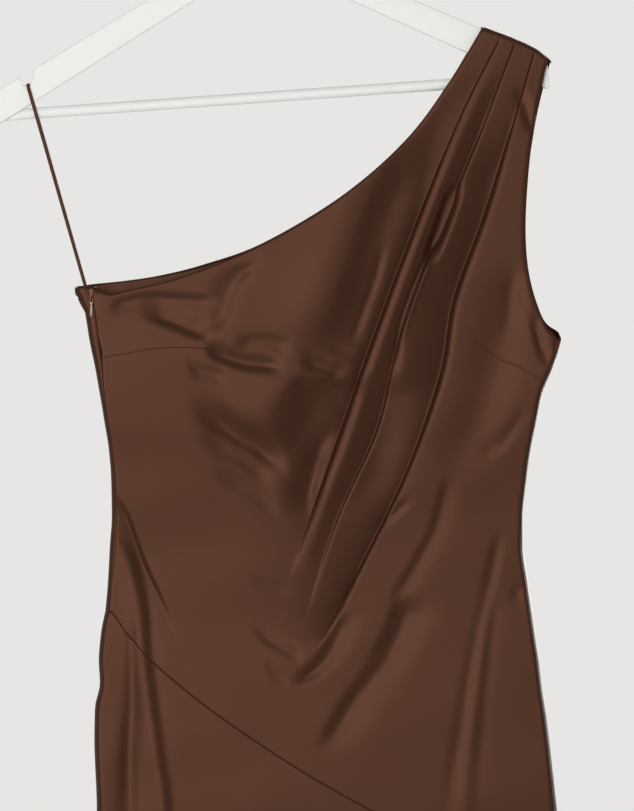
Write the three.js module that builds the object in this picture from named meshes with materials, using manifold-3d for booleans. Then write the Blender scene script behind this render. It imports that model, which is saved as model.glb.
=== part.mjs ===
import * as THREE from 'three';
import { mergeVertices } from 'three/addons/utils/BufferGeometryUtils.js';
import Module from 'manifold-3d';

// A one-shoulder satin dress on a painted hanger, in millimetres, +Z up.
// The front faces -Y. The rail bears on the underside of the hook's crown, at the origin.

const wasm = await Module();
wasm.setup();

// Cloth sizes
const WALL = 1.4;
const SEAM_GAP = 0.3;
const SIDE_ROUND = 25;
const CREST_ROUND = 7.5;
const LEAST_DEPTH = 7.3;
const FRONT_CREST_DROP = 1.8;
const BACK_CREST_DROP = 1.2;
const HEM_Z = -1390;
const LEFT_SEAM_TOP = -350.5;
const RIGHT_SEAM_TOP = -392.5;
const NORMAL_STEP = 0.5;

// Rows and columns of the panels. A bodice edge turns its corner at a share of its length.
const TIP_SHARE = 0.34;
const CORNER_SHARE = 0.59;
const BODICE_ROWS = rowsBetween([0, 0.004, 0.012, TIP_SHARE, CORNER_SHARE, 1], [1, 1, 13, 10, 16]);
const SKIRT_ROWS = rowsBetween([0, 1], [20]);
const LEFT_COLUMNS = [4, 12];
const RIGHT_COLUMNS = [14, 5];
const BACK_COLUMNS = 12;
const STRAP_SHARE = 0.22;
const STRAP_END = 0.3;
const PLEAT_HALF_STEP = 0.8;

// Side seam and zip sizes
const TAPE_THICK = 1;
const TAPE_TOP = -364;
const TAPE_END = -585;
const SLIDER = { x: -130.2, z: -360.5, width: 4.8, height: 7.6, depth: 2.2, stand: 1.1 };
const ARCH_SUNK = 0.4;
const BRIDGE = { width: 0.9, bar: 0.8, innerHeight: 1.9, innerLength: 3 };
const TAB = { length: 15.5, width: 2.9, neck: 1.7, thick: 1, windowWidth: 1.5, windowLength: 2.8, bar: 1 };

// Hanger sizes, in the hanger's own frame before its tilt
const TILT = THREE.MathUtils.degToRad(4);
const ARM_THICK = 9;
const ARM_REACH = 227;
const ARM_APEX_Z = -74.7;
const ARM_SLOPE = Math.tan(THREE.MathUtils.degToRad(27.7));
const ARM_HEIGHT = { middle: 21, end: 27 };
const ARM_END_ROUND = 6;
const CROWN_HALF = 16;
const CROWN_DIP = 3;
const NOTCH = { x: 195, width: 10.5, depth: 10.5 };
const BAR_Z = -196.9;
const BAR_RADIUS = 4.5;
const BAR_SIDES = 20;
const BAR_END_GAP = 0.65;
const HOOK_RADIUS = 20;
const HOOK_START = -50;
const HOOK_END = 205;
const HOOK_STEP = 15;
const WIRE_RADIUS = 1.75;
const HOOK_BEND = 18;

// Hanger loop sizes
const LOOP_WIDTH = 2.8;
const LOOP_THICK = 1;
const LOOP_CLEAR = 0.55;
const NOTCH_CLEAR = 1;
const LOOP_TURNS = 0.012;
const LOOP_LEAVES = 0.24;
const LOOP_END = { x: -133, z: -358 };

// Rows of the dress from the shoulder to the hem: the two silhouettes, the depths of the
// front and of the back, and how far the back panel comes round to the front at each side.
const SECTIONS = table(['z', 'left', 'right', 'front', 'back', 'wrapLeft', 'wrapRight'], [
  [-100, -144, 281.5, 7.5, 7.5, 15, 4],
  [-200, -144, 281.5, 8, 7.5, 15, 4],
  [-240, -144, 281.5, 10, 8, 15, 4],
  [-280, -144, 273.5, 13, 8.5, 15, 4],
  [-325, -144, 261, 17, 9, 15, 4],
  [-354.5, -144, 254.5, 19, 10, 14.5, 4],
  [-362.5, -140.5, 253.5, 20, 10.5, 11.5, 4],
  [-373, -135.5, 252, 22, 11, 8.5, 4],
  [-392.5, -132.5, 250.5, 24, 12, 8, 4],
  [-414, -128, 244, 25, 12.5, 6.5, 3.5],
  [-436, -124, 235, 24, 12, 4, 3],
  [-460, -120, 230, 22, 11, 3, 2.5],
  [-482, -116.5, 225.5, 20, 10, 3, 2.5],
  [-507, -114.5, 222, 19, 10, 3.5, 2.5],
  [-538, -114, 219, 18, 10, 4, 2.5],
  [-560, -115.5, 219, 18, 11, 4.5, 2],
  [-588, -117, 222.5, 19, 12, 3, 2],
  [-612, -119, 226, 21, 14, 1.5, 2],
  [-630, -122.5, 228.5, 23, 15, 3, 2],
  [-654, -124.5, 232, 25, 16, 2.5, 2],
  [-672, -123.5, 234, 26, 17, 1.5, 2],
  [-692, -127.5, 237, 27, 18, 2, 2],
  [-716, -128, 240, 28, 19, 2, 2],
  [-775, -126, 246.5, 30, 21, 2, 2],
  [-850, -127.5, 255, 31, 24, 2, 2],
  [-1010, -133, 274, 34, 28, 2, 2],
  [-1170, -138, 293.5, 37, 32, 2, 2],
  [-1400, -143, 321, 41, 36, 2, 2],
]);

// The crest of the shoulder over the hanger's arm, continued straight past the strap
const CREST = table(['x', 'z'], [
  [-400, 111],
  [186.5, -139],
  [207, -146.6],
  [230, -157],
  [243.5, -167.5],
  [290, -200],
]);

// The diagonal hip seam, the same on the front and the back
const HIP_SEAM = table(['x', 'z'], [
  [-124, -613.5],
  [-116, -613.5],
  [-101, -632],
  [-84, -651],
  [-41.5, -687],
  [6, -720.5],
  [52, -749.5],
  [99, -775.5],
  [160, -804.5],
  [246, -838.5],
  [262, -838.5],
]);
const HIP_LEFT_Z = -613.5;
const HIP_RIGHT_Z = -838.5;

// Panel edges, as x and z from the shoulder down
const NECKLINE_FRONT = [
  [186.5, -140.5], [160, -184], [124.5, -231.5], [73.5, -276.5], [8.5, -316], [-57, -343], [-107.5, -355.5],
  [-117, -356.5], [-129, LEFT_SEAM_TOP],
];
const NECKLINE_BACK = [
  [186.5, -138], [160, -183.5], [124.5, -231], [73.5, -276], [8.5, -315], [-39.5, -332.5], [-75, -341.5],
  [-104, -346], [-133, -349], [-144, -354.5], [-159, LEFT_SEAM_TOP],
];
const ARMHOLE_FRONT = [
  [241, -168], [237.5, -176], [234, -192.5], [229, -216.5], [223.5, -258], [221, -306.5], [224.5, -344.5],
  [235.5, -378.5], [246.5, RIGHT_SEAM_TOP],
];
const ARMHOLE_BACK = [
  [243, -166], [239, -178], [230, -216], [222.5, -270], [222, -320], [226, -350], [236.5, -377], [247, -386.5],
  [250.5, -391.5], [254.5, RIGHT_SEAM_TOP],
];

// The three shoulder pleats and the soft border of the last one, from the shoulder to the hip seam
const PLEATS = {
  first: [[202, -147], [168, -213], [134, -298], [96, -400], [65, -489], [27, -596], [7.5, -720.5]],
  second: [[213.5, -151], [189.5, -214], [168.5, -266], [142, -330], [118, -398], [101, -467], [67, -544],
    [38.5, -637], [26.5, -732.5]],
  third: [[229, -158.5], [209.5, -224.5], [188.5, -293.5], [164, -361.5], [153.5, -420.5], [127.5, -496],
    [90, -574], [51.5, -645], [42.5, -744]],
  border: [[236, -162.5], [222.5, -216], [207, -313], [188.5, -382], [172, -453.5], [148.5, -532.5],
    [118, -599], [85, -680], [71, -760]],
};

// Folds that run down a panel. A tuck drops on its left and rises on its right; a soft fold is one rounded
// ridge, or a trough where its rise is negative. Widths and heights are in millimetres, and fades are the
// lengths over which the fold grows and dies.
const FOLD_COLUMNS = ['kind', 'drop', 'rise', 'left', 'right', 'fadeIn', 'fadeOut', 'line'];
const FRONT_FOLDS = table(FOLD_COLUMNS, [
  ['tuck', 4, 3, 14, 14, 10, 130, PLEATS.first.slice(0, 6)],
  ['tuck', 7, 4, 9, 10, 10, 150, PLEATS.second.slice(0, 7)],
  ['tuck', 4, 5, 12, 16, 10, 260, PLEATS.third.slice(0, 8)],
  ['soft', 0, -3, 12, 18, 60, 120, PLEATS.border.slice(0, 6)],
  ['soft', 0, -6, 20, 20, 70, 80, [[75, -380], [45, -440], [20, -520]]],
  ['tuck', -6, -5, 18, 26, 60, 30, [[-112, -515], [-95, -555], [-84, -620], [-76, -720], [-70, -860], [-66, -1400]]],
  ['soft', 0, -5, 8, 12, 90, 20, [[-97, -610], [-99, -660], [-102, -760], [-104, -1000], [-106, -1400]]],
  ['soft', 0, 6, 9, 9, 120, 30, [[198, -545], [184, -640], [172, -730], [158, -880], [150, -1100], [146, -1400]]],
  ['soft', 0, -4, 26, 30, 90, 60, [[134, -560], [112, -640], [80, -700], [66, -830]]],
  ['soft', 0, 8, 30, 34, 260, 10, [[40, -830], [44, -1050], [50, -1400]]],
  ['soft', 0, 7, 26, 28, 220, 10, [[232, -880], [244, -1050], [262, -1400]]],
  ['soft', 0, -7, 26, 30, 260, 10, [[-18, -830], [-16, -1050], [-12, -1400]]],
]);
const BACK_FOLDS = table(FOLD_COLUMNS, [
  ['soft', 0, 3, 16, 20, 20, 120, [[196, -150], [176, -230], [150, -330], [120, -430]]],
  ['soft', 0, 4, 24, 30, 120, 150, [[150, -330], [110, -460], [70, -600]]],
  ['soft', 0, 5, 26, 30, 120, 10, [[-70, -560], [-78, -800], [-84, -1400]]],
  ['soft', 0, -5, 22, 26, 160, 10, [[0, -620], [-6, -900], [-10, -1400]]],
  ['soft', 0, 7, 30, 34, 180, 10, [[80, -640], [86, -900], [92, -1400]]],
  ['soft', 0, 7, 28, 30, 160, 10, [[190, -700], [206, -950], [224, -1400]]],
]);

// Folds that run across the front, read from the left to the right
const ACROSS_FOLDS = table(FOLD_COLUMNS, [
  ['soft', 0, 3.5, 9, 12, 30, 40, [[-110, -366], [-75, -370], [-48, -382], [-28, -398]]],
  ['soft', 0, -4, 10, 12, 25, 30, [[-60, -411], [-40, -421], [-20, -424]]],
  ['soft', 0, -3.5, 10, 14, 30, 40, [[-64, -462], [-40, -468], [-14, -480], [28, -498]]],
]);

const COLOURS = {
  satin: 0x5c3a2d, ribbon: 0x553228, tape: 0x3a241c, metal: 0x8d8478, paint: 0xeceee9, steel: 0xc4c6c8,
};

function table(columns, rows) {
  return rows.map((row) => Object.fromEntries(columns.map((name, index) => [name, row[index]])));
}

// Linear reading of one column of a table, held on its end values
function read(rows, key, at, column) {
  const rising = rows[1][key] > rows[0][key] ? 1 : -1;
  const upper = rows.findIndex((row) => (row[key] - at) * rising >= 0);
  if (upper === 0) {
    return rows[0][column];
  }
  if (upper < 0) {
    return rows[rows.length - 1][column];
  }
  const low = rows[upper - 1];
  const high = rows[upper];
  return low[column] + ((high[column] - low[column]) * (at - low[key])) / (high[key] - low[key]);
}

const section = (z, column) => read(SECTIONS, 'z', z, column);
const crestZ = (x) => read(CREST, 'x', x, 'z');
const hipSeamZ = (x) => read(HIP_SEAM, 'x', x, 'z');
const leftSeamX = (z) => section(z, 'left') + section(z, 'wrapLeft');
const rightSeamX = (z) => section(z, 'right') - section(z, 'wrapRight');

function smoothStep(value) {
  const t = THREE.MathUtils.clamp(value, 0, 1);
  return t * t * (3 - 2 * t);
}

// The quarter ellipse that closes a side: 0 on the silhouette, 1 a radius further in
function rounding(distance, radius) {
  const left = Math.max(0, 1 - Math.max(0, distance) / radius);
  return Math.sqrt(1 - left * left);
}

// A fold's line as a table of its points, read by the coordinate along which it runs
function foldLine(points) {
  const curve = new THREE.SplineCurve(points.map(([x, z]) => new THREE.Vector2(x, z)));
  return curve.getPoints(points.length * 4).map((point) => ({ x: point.x, z: point.y }));
}

function prepareFolds(rows, along, over) {
  return rows.map((row) => {
    const line = foldLine(row.line);
    const first = line[0][along];
    const last = line[line.length - 1][along];
    return { ...row, line, along, over, first, last };
  });
}

const FOLDS = {
  front: [...prepareFolds(FRONT_FOLDS, 'z', 'x'), ...prepareFolds(ACROSS_FOLDS, 'x', 'z')],
  back: prepareFolds(BACK_FOLDS, 'z', 'x'),
};

function foldHeight(fold, place) {
  const travelled = (place[fold.along] - fold.first) / Math.sign(fold.last - fold.first);
  const length = Math.abs(fold.last - fold.first);
  if (travelled < -1 || travelled > length) {
    return 0;
  }
  const grown = fold.fadeIn > 0 ? smoothStep(travelled / fold.fadeIn) : 1;
  const dying = smoothStep((length - travelled) / fold.fadeOut);
  const aside = place[fold.over] - read(fold.line, fold.along, place[fold.along], fold.over);
  const width = aside < 0 ? fold.left : fold.right;
  const reach = Math.abs(aside) / width;
  if (fold.kind === 'soft') {
    return fold.rise * grown * dying * Math.exp(-reach * reach);
  }
  return (aside < 0 ? -fold.drop : fold.rise) * grown * dying * Math.exp(-reach);
}

function depth(face, x, z, folded) {
  const plain = section(z, face);
  if (!folded) {
    return plain;
  }
  const raised = FOLDS[face].reduce((sum, fold) => sum + foldHeight(fold, { x, z }), plain);
  return Math.max(LEAST_DEPTH, raised);
}

// Brings a flat place of a panel into the dress: past a silhouette, or past the shoulder's crest, the cloth
// turns round to the other face.
function turned(face, acrossX, upZ) {
  let x = acrossX;
  let z = upZ;
  let onFront = face === 'front';
  const left = section(z, 'left');
  const right = section(z, 'right');
  if (x < left) {
    x = 2 * left - x;
    onFront = !onFront;
  } else if (x > right) {
    x = 2 * right - x;
    onFront = !onFront;
  }
  const crest = crestZ(x);
  if (z > crest) {
    z = 2 * crest - z;
    onFront = !onFront;
  }
  return { x, z, onFront };
}

function clothPoint(face, acrossX, upZ, folded = true) {
  const { x, z, onFront } = turned(face, acrossX, upZ);
  const sides = rounding(x - section(z, 'left'), SIDE_ROUND) * rounding(section(z, 'right') - x, SIDE_ROUND);
  const top = rounding(crestZ(x) - z, CREST_ROUND);
  const y = depth(onFront ? 'front' : 'back', x, z, folded) * sides * top;
  return new THREE.Vector3(x, onFront ? -y : y, z);
}

// The way out of the cloth at a place, taken on the cloth without its folds
function outward(face, x, z) {
  const across = clothPoint(face, x + NORMAL_STEP, z, false).sub(clothPoint(face, x - NORMAL_STEP, z, false));
  const up = clothPoint(face, x, z + NORMAL_STEP, false).sub(clothPoint(face, x, z - NORMAL_STEP, false));
  const normal = across.cross(up).normalize();
  return face === 'front' ? normal : normal.negate();
}

// A guide runs down a panel, with v from 0 at its top to 1 at its bottom
const flatPoint = ([x, z]) => new THREE.Vector2(x, z);
const lineGuide = (points) => {
  const curve = new THREE.SplineCurve(points.map(flatPoint));
  return { at: (v) => curve.getPointAt(v) };
};
const seamGuide = (seamX, top, end, inward) => ({
  at: (v) => {
    const z = THREE.MathUtils.lerp(top, end, v);
    return new THREE.Vector2(seamX(z) + inward, z);
  },
});

// A cut edge down to a corner of the panel, then a side seam
function edgeGuide(cutEdge, seam, cornerShare) {
  const cut = lineGuide(cutEdge);
  return {
    at: (v) => (v < cornerShare ? cut.at(v / cornerShare) : seam.at((v - cornerShare) / (1 - cornerShare))),
  };
}

// A guide beside another. On the narrow strap it lies nearer.
const strapShare = (v) => STRAP_SHARE + (1 - STRAP_SHARE) * smoothStep(v / STRAP_END);
const wholeShare = () => 1;
function beside(other, shift, share) {
  return {
    at: (v) => {
      const edge = other.at(v);
      return new THREE.Vector2(edge.x + shift(edge.y) * share(v), edge.y);
    },
  };
}
const shifted = (other, shift) => beside(other, () => shift, wholeShare);

// Even guides between two others, without those two
function fan(first, last, count) {
  return Array.from({ length: count }, (_, index) => ({
    at: (v) => first.at(v).clone().lerp(last.at(v), (index + 1) / (count + 1)),
  }));
}

// Even rows between marks, each mark kept
function rowsBetween(marks, counts) {
  const rows = [marks[0]];
  counts.forEach((count, index) => {
    for (let step = 1; step <= count; step += 1) {
      rows.push(marks[index] + ((marks[index + 1] - marks[index]) * step) / count);
    }
  });
  return rows;
}

// A panel's grid of places, its first and last rows brought onto the panel's top and bottom lines
function panelGrid(face, guides, rows, topZ, bottomZ) {
  const pulls = guides.map((one) => {
    const top = one.at(0);
    const bottom = one.at(1);
    return { top: topZ(top.x) - top.y, bottom: bottomZ(turned(face, bottom.x, bottom.y).x) - bottom.y };
  });
  return rows.map((v) => guides.map((one, column) => {
    const flat = one.at(v);
    const z = flat.y + pulls[column].top * (1 - smoothStep(v * 6)) + pulls[column].bottom * v ** 4;
    return { point: clothPoint(face, flat.x, z), out: outward(face, flat.x, z) };
  }));
}

// A closed wall round a grid: an outer skin, an inner skin and four rims
function wallGeometry(grid, outer, inner) {
  const rows = grid.length;
  const columns = grid[0].length;
  const positions = [];
  [outer, -inner].forEach((offset) => grid.flat().forEach(({ point, out }) => {
    positions.push(...point.clone().addScaledVector(out, offset).toArray());
  }));
  const skin = rows * columns;
  const at = (row, column, side) => side * skin + row * columns + column;
  const corner = (index) => new THREE.Vector3().fromArray(positions, index * 3);
  const faces = [];
  const quad = (a, b, c, d) => {
    if (corner(a).distanceTo(corner(c)) <= corner(b).distanceTo(corner(d))) {
      faces.push(a, b, c, a, c, d);
    } else {
      faces.push(a, b, d, b, c, d);
    }
  };
  for (let row = 0; row < rows - 1; row += 1) {
    for (let column = 0; column < columns - 1; column += 1) {
      quad(at(row, column, 0), at(row + 1, column, 0), at(row + 1, column + 1, 0), at(row, column + 1, 0));
      quad(at(row, column, 1), at(row, column + 1, 1), at(row + 1, column + 1, 1), at(row + 1, column, 1));
    }
  }
  for (let row = 0; row < rows - 1; row += 1) {
    quad(at(row, 0, 1), at(row + 1, 0, 1), at(row + 1, 0, 0), at(row, 0, 0));
    quad(at(row, columns - 1, 0), at(row + 1, columns - 1, 0), at(row + 1, columns - 1, 1), at(row, columns - 1, 1));
  }
  for (let column = 0; column < columns - 1; column += 1) {
    quad(at(0, column, 0), at(0, column + 1, 0), at(0, column + 1, 1), at(0, column, 1));
    quad(at(rows - 1, column, 1), at(rows - 1, column + 1, 1), at(rows - 1, column + 1, 0), at(rows - 1, column, 0));
  }
  return facingOut(positions, faces);
}

function signedVolume(positions, faces) {
  let sum = 0;
  for (let index = 0; index < faces.length; index += 3) {
    const [a, b, c] = [0, 1, 2].map((step) => new THREE.Vector3().fromArray(positions, faces[index + step] * 3));
    sum += a.dot(b.cross(c));
  }
  return sum / 6;
}

function facingOut(positions, faces) {
  const geometry = new THREE.BufferGeometry();
  geometry.setAttribute('position', new THREE.Float32BufferAttribute(positions, 3));
  geometry.setIndex(signedVolume(positions, faces) < 0 ? faces.slice().reverse() : faces);
  geometry.computeVertexNormals();
  return geometry;
}

const halfGap = SEAM_GAP / 2;
const hipGap = SEAM_GAP * 0.8;
const wrappedLeftX = (z) => section(z, 'left') - section(z, 'wrapLeft');
const wrappedRightX = (z) => section(z, 'right') + section(z, 'wrapRight');
const overHip = (x) => hipSeamZ(x) + hipGap;
const underHip = (x) => hipSeamZ(x) - hipGap;

// The columns of the front bodice: rounded sides, even guides, and a pair at each pleat's step
function frontBodiceGrid() {
  const leftSeam = seamGuide(leftSeamX, LEFT_SEAM_TOP, HIP_LEFT_Z, halfGap);
  const rightSeam = seamGuide(rightSeamX, RIGHT_SEAM_TOP, HIP_RIGHT_Z, -halfGap);
  const left = edgeGuide(NECKLINE_FRONT, leftSeam, CORNER_SHARE);
  const right = edgeGuide(ARMHOLE_FRONT, rightSeam, TIP_SHARE);
  const leftInner = LEFT_COLUMNS.map((shift) => beside(left, () => shift, strapShare));
  const rightInner = RIGHT_COLUMNS.map((shift) => beside(right, () => -shift, strapShare));
  const [first, second, third, border] = Object.values(PLEATS).map(lineGuide);
  const pleatPair = (line) => [shifted(line, -PLEAT_HALF_STEP), shifted(line, PLEAT_HALF_STEP)];
  const guides = [
    left,
    ...leftInner,
    ...fan(leftInner.at(-1), first, 7),
    ...pleatPair(first),
    ...fan(first, second, 2),
    ...pleatPair(second),
    ...fan(second, third, 2),
    ...pleatPair(third),
    ...fan(third, border, 2),
    border,
    ...fan(border, rightInner[0], 5),
    ...rightInner,
    right,
  ];
  return panelGrid('front', guides, BODICE_ROWS, (x) => crestZ(x) - FRONT_CREST_DROP, overHip);
}

// The columns of a back panel: the wrap to the front, the rounded sides and even guides between
function backGuides(left, right, share) {
  const leftInner = [
    ...[0.4, 0.75].map((part) => beside(left, (z) => part * section(z, 'wrapLeft'), share)),
    ...[0, 4, 14].map((extra) => beside(left, (z) => section(z, 'wrapLeft') + extra, share)),
  ];
  const rightInner = [16, 5, 0].map((extra) => beside(right, (z) => -section(z, 'wrapRight') - extra, share));
  return [left, ...leftInner, ...fan(leftInner.at(-1), rightInner[0], BACK_COLUMNS), ...rightInner, right];
}

function backBodiceGrid() {
  const leftSeam = seamGuide(wrappedLeftX, LEFT_SEAM_TOP, HIP_LEFT_Z, halfGap);
  const rightSeam = seamGuide(wrappedRightX, RIGHT_SEAM_TOP, HIP_RIGHT_Z, -halfGap);
  const left = edgeGuide(NECKLINE_BACK, leftSeam, CORNER_SHARE);
  const right = edgeGuide(ARMHOLE_BACK, rightSeam, TIP_SHARE);
  const guides = backGuides(left, right, strapShare);
  return panelGrid('back', guides, BODICE_ROWS, (x) => crestZ(x) + BACK_CREST_DROP, overHip);
}

// The front skirt's columns go on from those of the bodice at the hip seam
function frontSkirtGrid(bodiceGrid) {
  const left = seamGuide(leftSeamX, HIP_LEFT_Z, HEM_Z, halfGap);
  const right = seamGuide(rightSeamX, HIP_RIGHT_Z, HEM_Z, -halfGap);
  const leftInner = LEFT_COLUMNS.map((shift) => shifted(left, shift));
  const rightInner = RIGHT_COLUMNS.map((shift) => shifted(right, -shift));
  const seamPlaces = bodiceGrid.at(-1).map(({ point }) => point.x);
  const start = seamPlaces[LEFT_COLUMNS.length];
  const end = seamPlaces.at(-1 - RIGHT_COLUMNS.length);
  const inner = seamPlaces.slice(LEFT_COLUMNS.length + 1, -1 - RIGHT_COLUMNS.length).map((x) => ({
    at: (v) => leftInner.at(-1).at(v).lerp(rightInner[0].at(v), (x - start) / (end - start)),
  }));
  const guides = [left, ...leftInner, ...inner, ...rightInner, right];
  return panelGrid('front', guides, SKIRT_ROWS, underHip, () => HEM_Z);
}

function backSkirtGrid() {
  const left = seamGuide(wrappedLeftX, HIP_LEFT_Z, HEM_Z, halfGap);
  const right = seamGuide(wrappedRightX, HIP_RIGHT_Z, HEM_Z, -halfGap);
  return panelGrid('back', backGuides(left, right, wholeShare), SKIRT_ROWS, underHip, () => HEM_Z);
}

const cloth = (grid) => wallGeometry(grid, WALL / 2, WALL / 2);

// The zip's tape is made from the front panel's own first columns, moved in by one gap
function zipTape(bodiceGrid) {
  const inset = WALL / 2 + SEAM_GAP;
  const rows = bodiceGrid.filter(([{ point }]) => point.z < TAPE_TOP && point.z > TAPE_END && point.x < 0);
  return wallGeometry(rows.map((row) => row.slice(0, 1 + LEFT_COLUMNS.length)), -inset, inset + TAPE_THICK);
}

function toSolid(geometry) {
  const bare = geometry.index ? geometry.clone() : geometry;
  bare.deleteAttribute('normal');
  bare.deleteAttribute('uv');
  const merged = mergeVertices(bare, 1e-4);
  return new wasm.Manifold(new wasm.Mesh({
    numProp: 3,
    vertProperties: new Float32Array(merged.attributes.position.array),
    triVerts: new Uint32Array(merged.index.array),
  }));
}

function fromSolid(solid) {
  const mesh = solid.getMesh();
  const geometry = new THREE.BufferGeometry();
  geometry.setAttribute('position', new THREE.Float32BufferAttribute(mesh.vertProperties, 3));
  geometry.setIndex(Array.from(mesh.triVerts));
  geometry.computeVertexNormals();
  return geometry;
}

// An outline in x and z, carried along y from the near plane to the far one
function upright(shape, nearY, farY, curveSegments = 6) {
  const geometry = new THREE.ExtrudeGeometry(shape, { depth: farY - nearY, bevelEnabled: false, curveSegments });
  geometry.rotateX(Math.PI / 2);
  geometry.translate(0, farY, 0);
  return geometry;
}

function box(width, depthY, height, x, y, z) {
  const geometry = new THREE.BoxGeometry(width, depthY, height);
  geometry.translate(x, y, z);
  return geometry;
}

// The slider's body lies on the cloth, and its bridge holds the pull tab's crossbar
const sliderSeatY = clothPoint('front', SLIDER.x, SLIDER.z).y - WALL / 2 - SLIDER.stand;
const sliderFaceY = sliderSeatY - SLIDER.depth;
const pivotY = sliderFaceY - BRIDGE.innerHeight / 2;

function zipSlider() {
  const half = SLIDER.width / 2;
  const outline = new THREE.Shape();
  outline.moveTo(-half * 0.6, -SLIDER.height / 2);
  outline.lineTo(half * 0.6, -SLIDER.height / 2);
  outline.lineTo(half, SLIDER.height / 4);
  outline.quadraticCurveTo(half, SLIDER.height / 2, half / 2, SLIDER.height / 2);
  outline.lineTo(-half / 2, SLIDER.height / 2);
  outline.quadraticCurveTo(-half, SLIDER.height / 2, -half, SLIDER.height / 4);
  outline.closePath();
  const body = upright(outline, sliderFaceY, sliderSeatY, 4);
  body.translate(SLIDER.x, 0, SLIDER.z);
  const archHeight = BRIDGE.innerHeight + BRIDGE.bar;
  const archLength = BRIDGE.innerLength + 2 * BRIDGE.bar;
  const archY = sliderFaceY + (ARCH_SUNK - archHeight) / 2;
  const arch = box(BRIDGE.width, archHeight + ARCH_SUNK, archLength, SLIDER.x, archY, SLIDER.z);
  const way = box(
    BRIDGE.width * 2, BRIDGE.innerHeight, BRIDGE.innerLength, SLIDER.x, pivotY, SLIDER.z,
  );
  return fromSolid(toSolid(arch).subtract(toSolid(way)).add(toSolid(body)));
}

// A slim teardrop with a window at its top, hanging from the crossbar
function zipPull() {
  const neck = TAB.neck / 2 + TAB.bar / 2;
  const half = TAB.width / 2;
  const outline = new THREE.Shape();
  const shoulderZ = -TAB.bar / 2 - TAB.windowLength - TAB.bar;
  outline.moveTo(-half, TAB.bar / 2);
  outline.lineTo(-half, shoulderZ);
  outline.quadraticCurveTo(-neck * 0.7, shoulderZ - 2, -half * 0.8, shoulderZ - 4);
  outline.quadraticCurveTo(-half * 1.1, -TAB.length + 3, 0, -TAB.length);
  outline.quadraticCurveTo(half * 1.1, -TAB.length + 3, half * 0.8, shoulderZ - 4);
  outline.quadraticCurveTo(neck * 0.7, shoulderZ - 2, half, shoulderZ);
  outline.lineTo(half, TAB.bar / 2);
  outline.closePath();
  const window = new THREE.Path();
  window.moveTo(-TAB.windowWidth / 2, -TAB.bar / 2);
  window.lineTo(TAB.windowWidth / 2, -TAB.bar / 2);
  window.lineTo(TAB.windowWidth / 2, -TAB.bar / 2 - TAB.windowLength);
  window.lineTo(-TAB.windowWidth / 2, -TAB.bar / 2 - TAB.windowLength);
  window.closePath();
  outline.holes.push(window);
  const tab = upright(outline, pivotY - TAB.thick / 2, pivotY + TAB.thick / 2, 5);
  tab.translate(SLIDER.x, 0, SLIDER.z);
  return tab;
}

const armHeightAt = (x) => ARM_HEIGHT.middle + ((ARM_HEIGHT.end - ARM_HEIGHT.middle) * x) / ARM_REACH;
const armTopZ = (x) => ARM_APEX_Z - ARM_SLOPE * x + armHeightAt(x) / 2;
const armFootZ = (x) => ARM_APEX_Z - ARM_SLOPE * x - armHeightAt(x) / 2;

// One arm's edge: out along the top over the notch, round the end and back along the foot
function armEdge() {
  const edge = new THREE.Path();
  const inner = NOTCH.x - NOTCH.width / 2;
  const outer = NOTCH.x + NOTCH.width / 2;
  const notchPull = armTopZ(NOTCH.x) - NOTCH.depth / 0.75;
  const endStart = ARM_REACH - 2 * ARM_END_ROUND;
  const footEnd = ARM_REACH - ARM_END_ROUND / 2;
  edge.moveTo(0, armTopZ(0) - CROWN_DIP);
  edge.quadraticCurveTo(CROWN_HALF / 2, armTopZ(CROWN_HALF / 2), CROWN_HALF, armTopZ(CROWN_HALF));
  edge.lineTo(inner, armTopZ(inner));
  edge.bezierCurveTo(inner, notchPull, outer, notchPull, outer, armTopZ(outer));
  edge.lineTo(endStart, armTopZ(endStart));
  edge.quadraticCurveTo(ARM_REACH, armTopZ(ARM_REACH), ARM_REACH, armTopZ(ARM_REACH) - 1.6 * ARM_END_ROUND);
  edge.lineTo(ARM_REACH, armFootZ(ARM_REACH) + ARM_END_ROUND / 2);
  edge.lineTo(footEnd, armFootZ(footEnd));
  edge.lineTo(CROWN_HALF, armFootZ(CROWN_HALF));
  edge.quadraticCurveTo(CROWN_HALF / 2, armFootZ(CROWN_HALF / 2), 0, armFootZ(0) - CROWN_DIP);
  return edge.getPoints(8);
}

// Both arms are one board
function hangerArms() {
  const right = armEdge();
  const left = right.slice(1, -1).map(({ x, y }) => new THREE.Vector2(-x, y)).reverse();
  return upright(new THREE.Shape([...right, ...left]), -ARM_THICK / 2, ARM_THICK / 2);
}

// A round bar whose ends are cut to the slope of the arms' feet
function hangerBar() {
  const geometry = new THREE.CylinderGeometry(BAR_RADIUS, BAR_RADIUS, 2, BAR_SIDES);
  geometry.rotateZ(Math.PI / 2);
  geometry.translate(0, 0, BAR_Z);
  const footSlope = (armFootZ(0) - armFootZ(ARM_REACH)) / ARM_REACH;
  const position = geometry.attributes.position;
  for (let index = 0; index < position.count; index += 1) {
    const reach = (armFootZ(0) - position.getZ(index)) / footSlope - BAR_END_GAP;
    position.setX(index, Math.sign(position.getX(index)) * reach);
  }
  return geometry;
}

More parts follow.
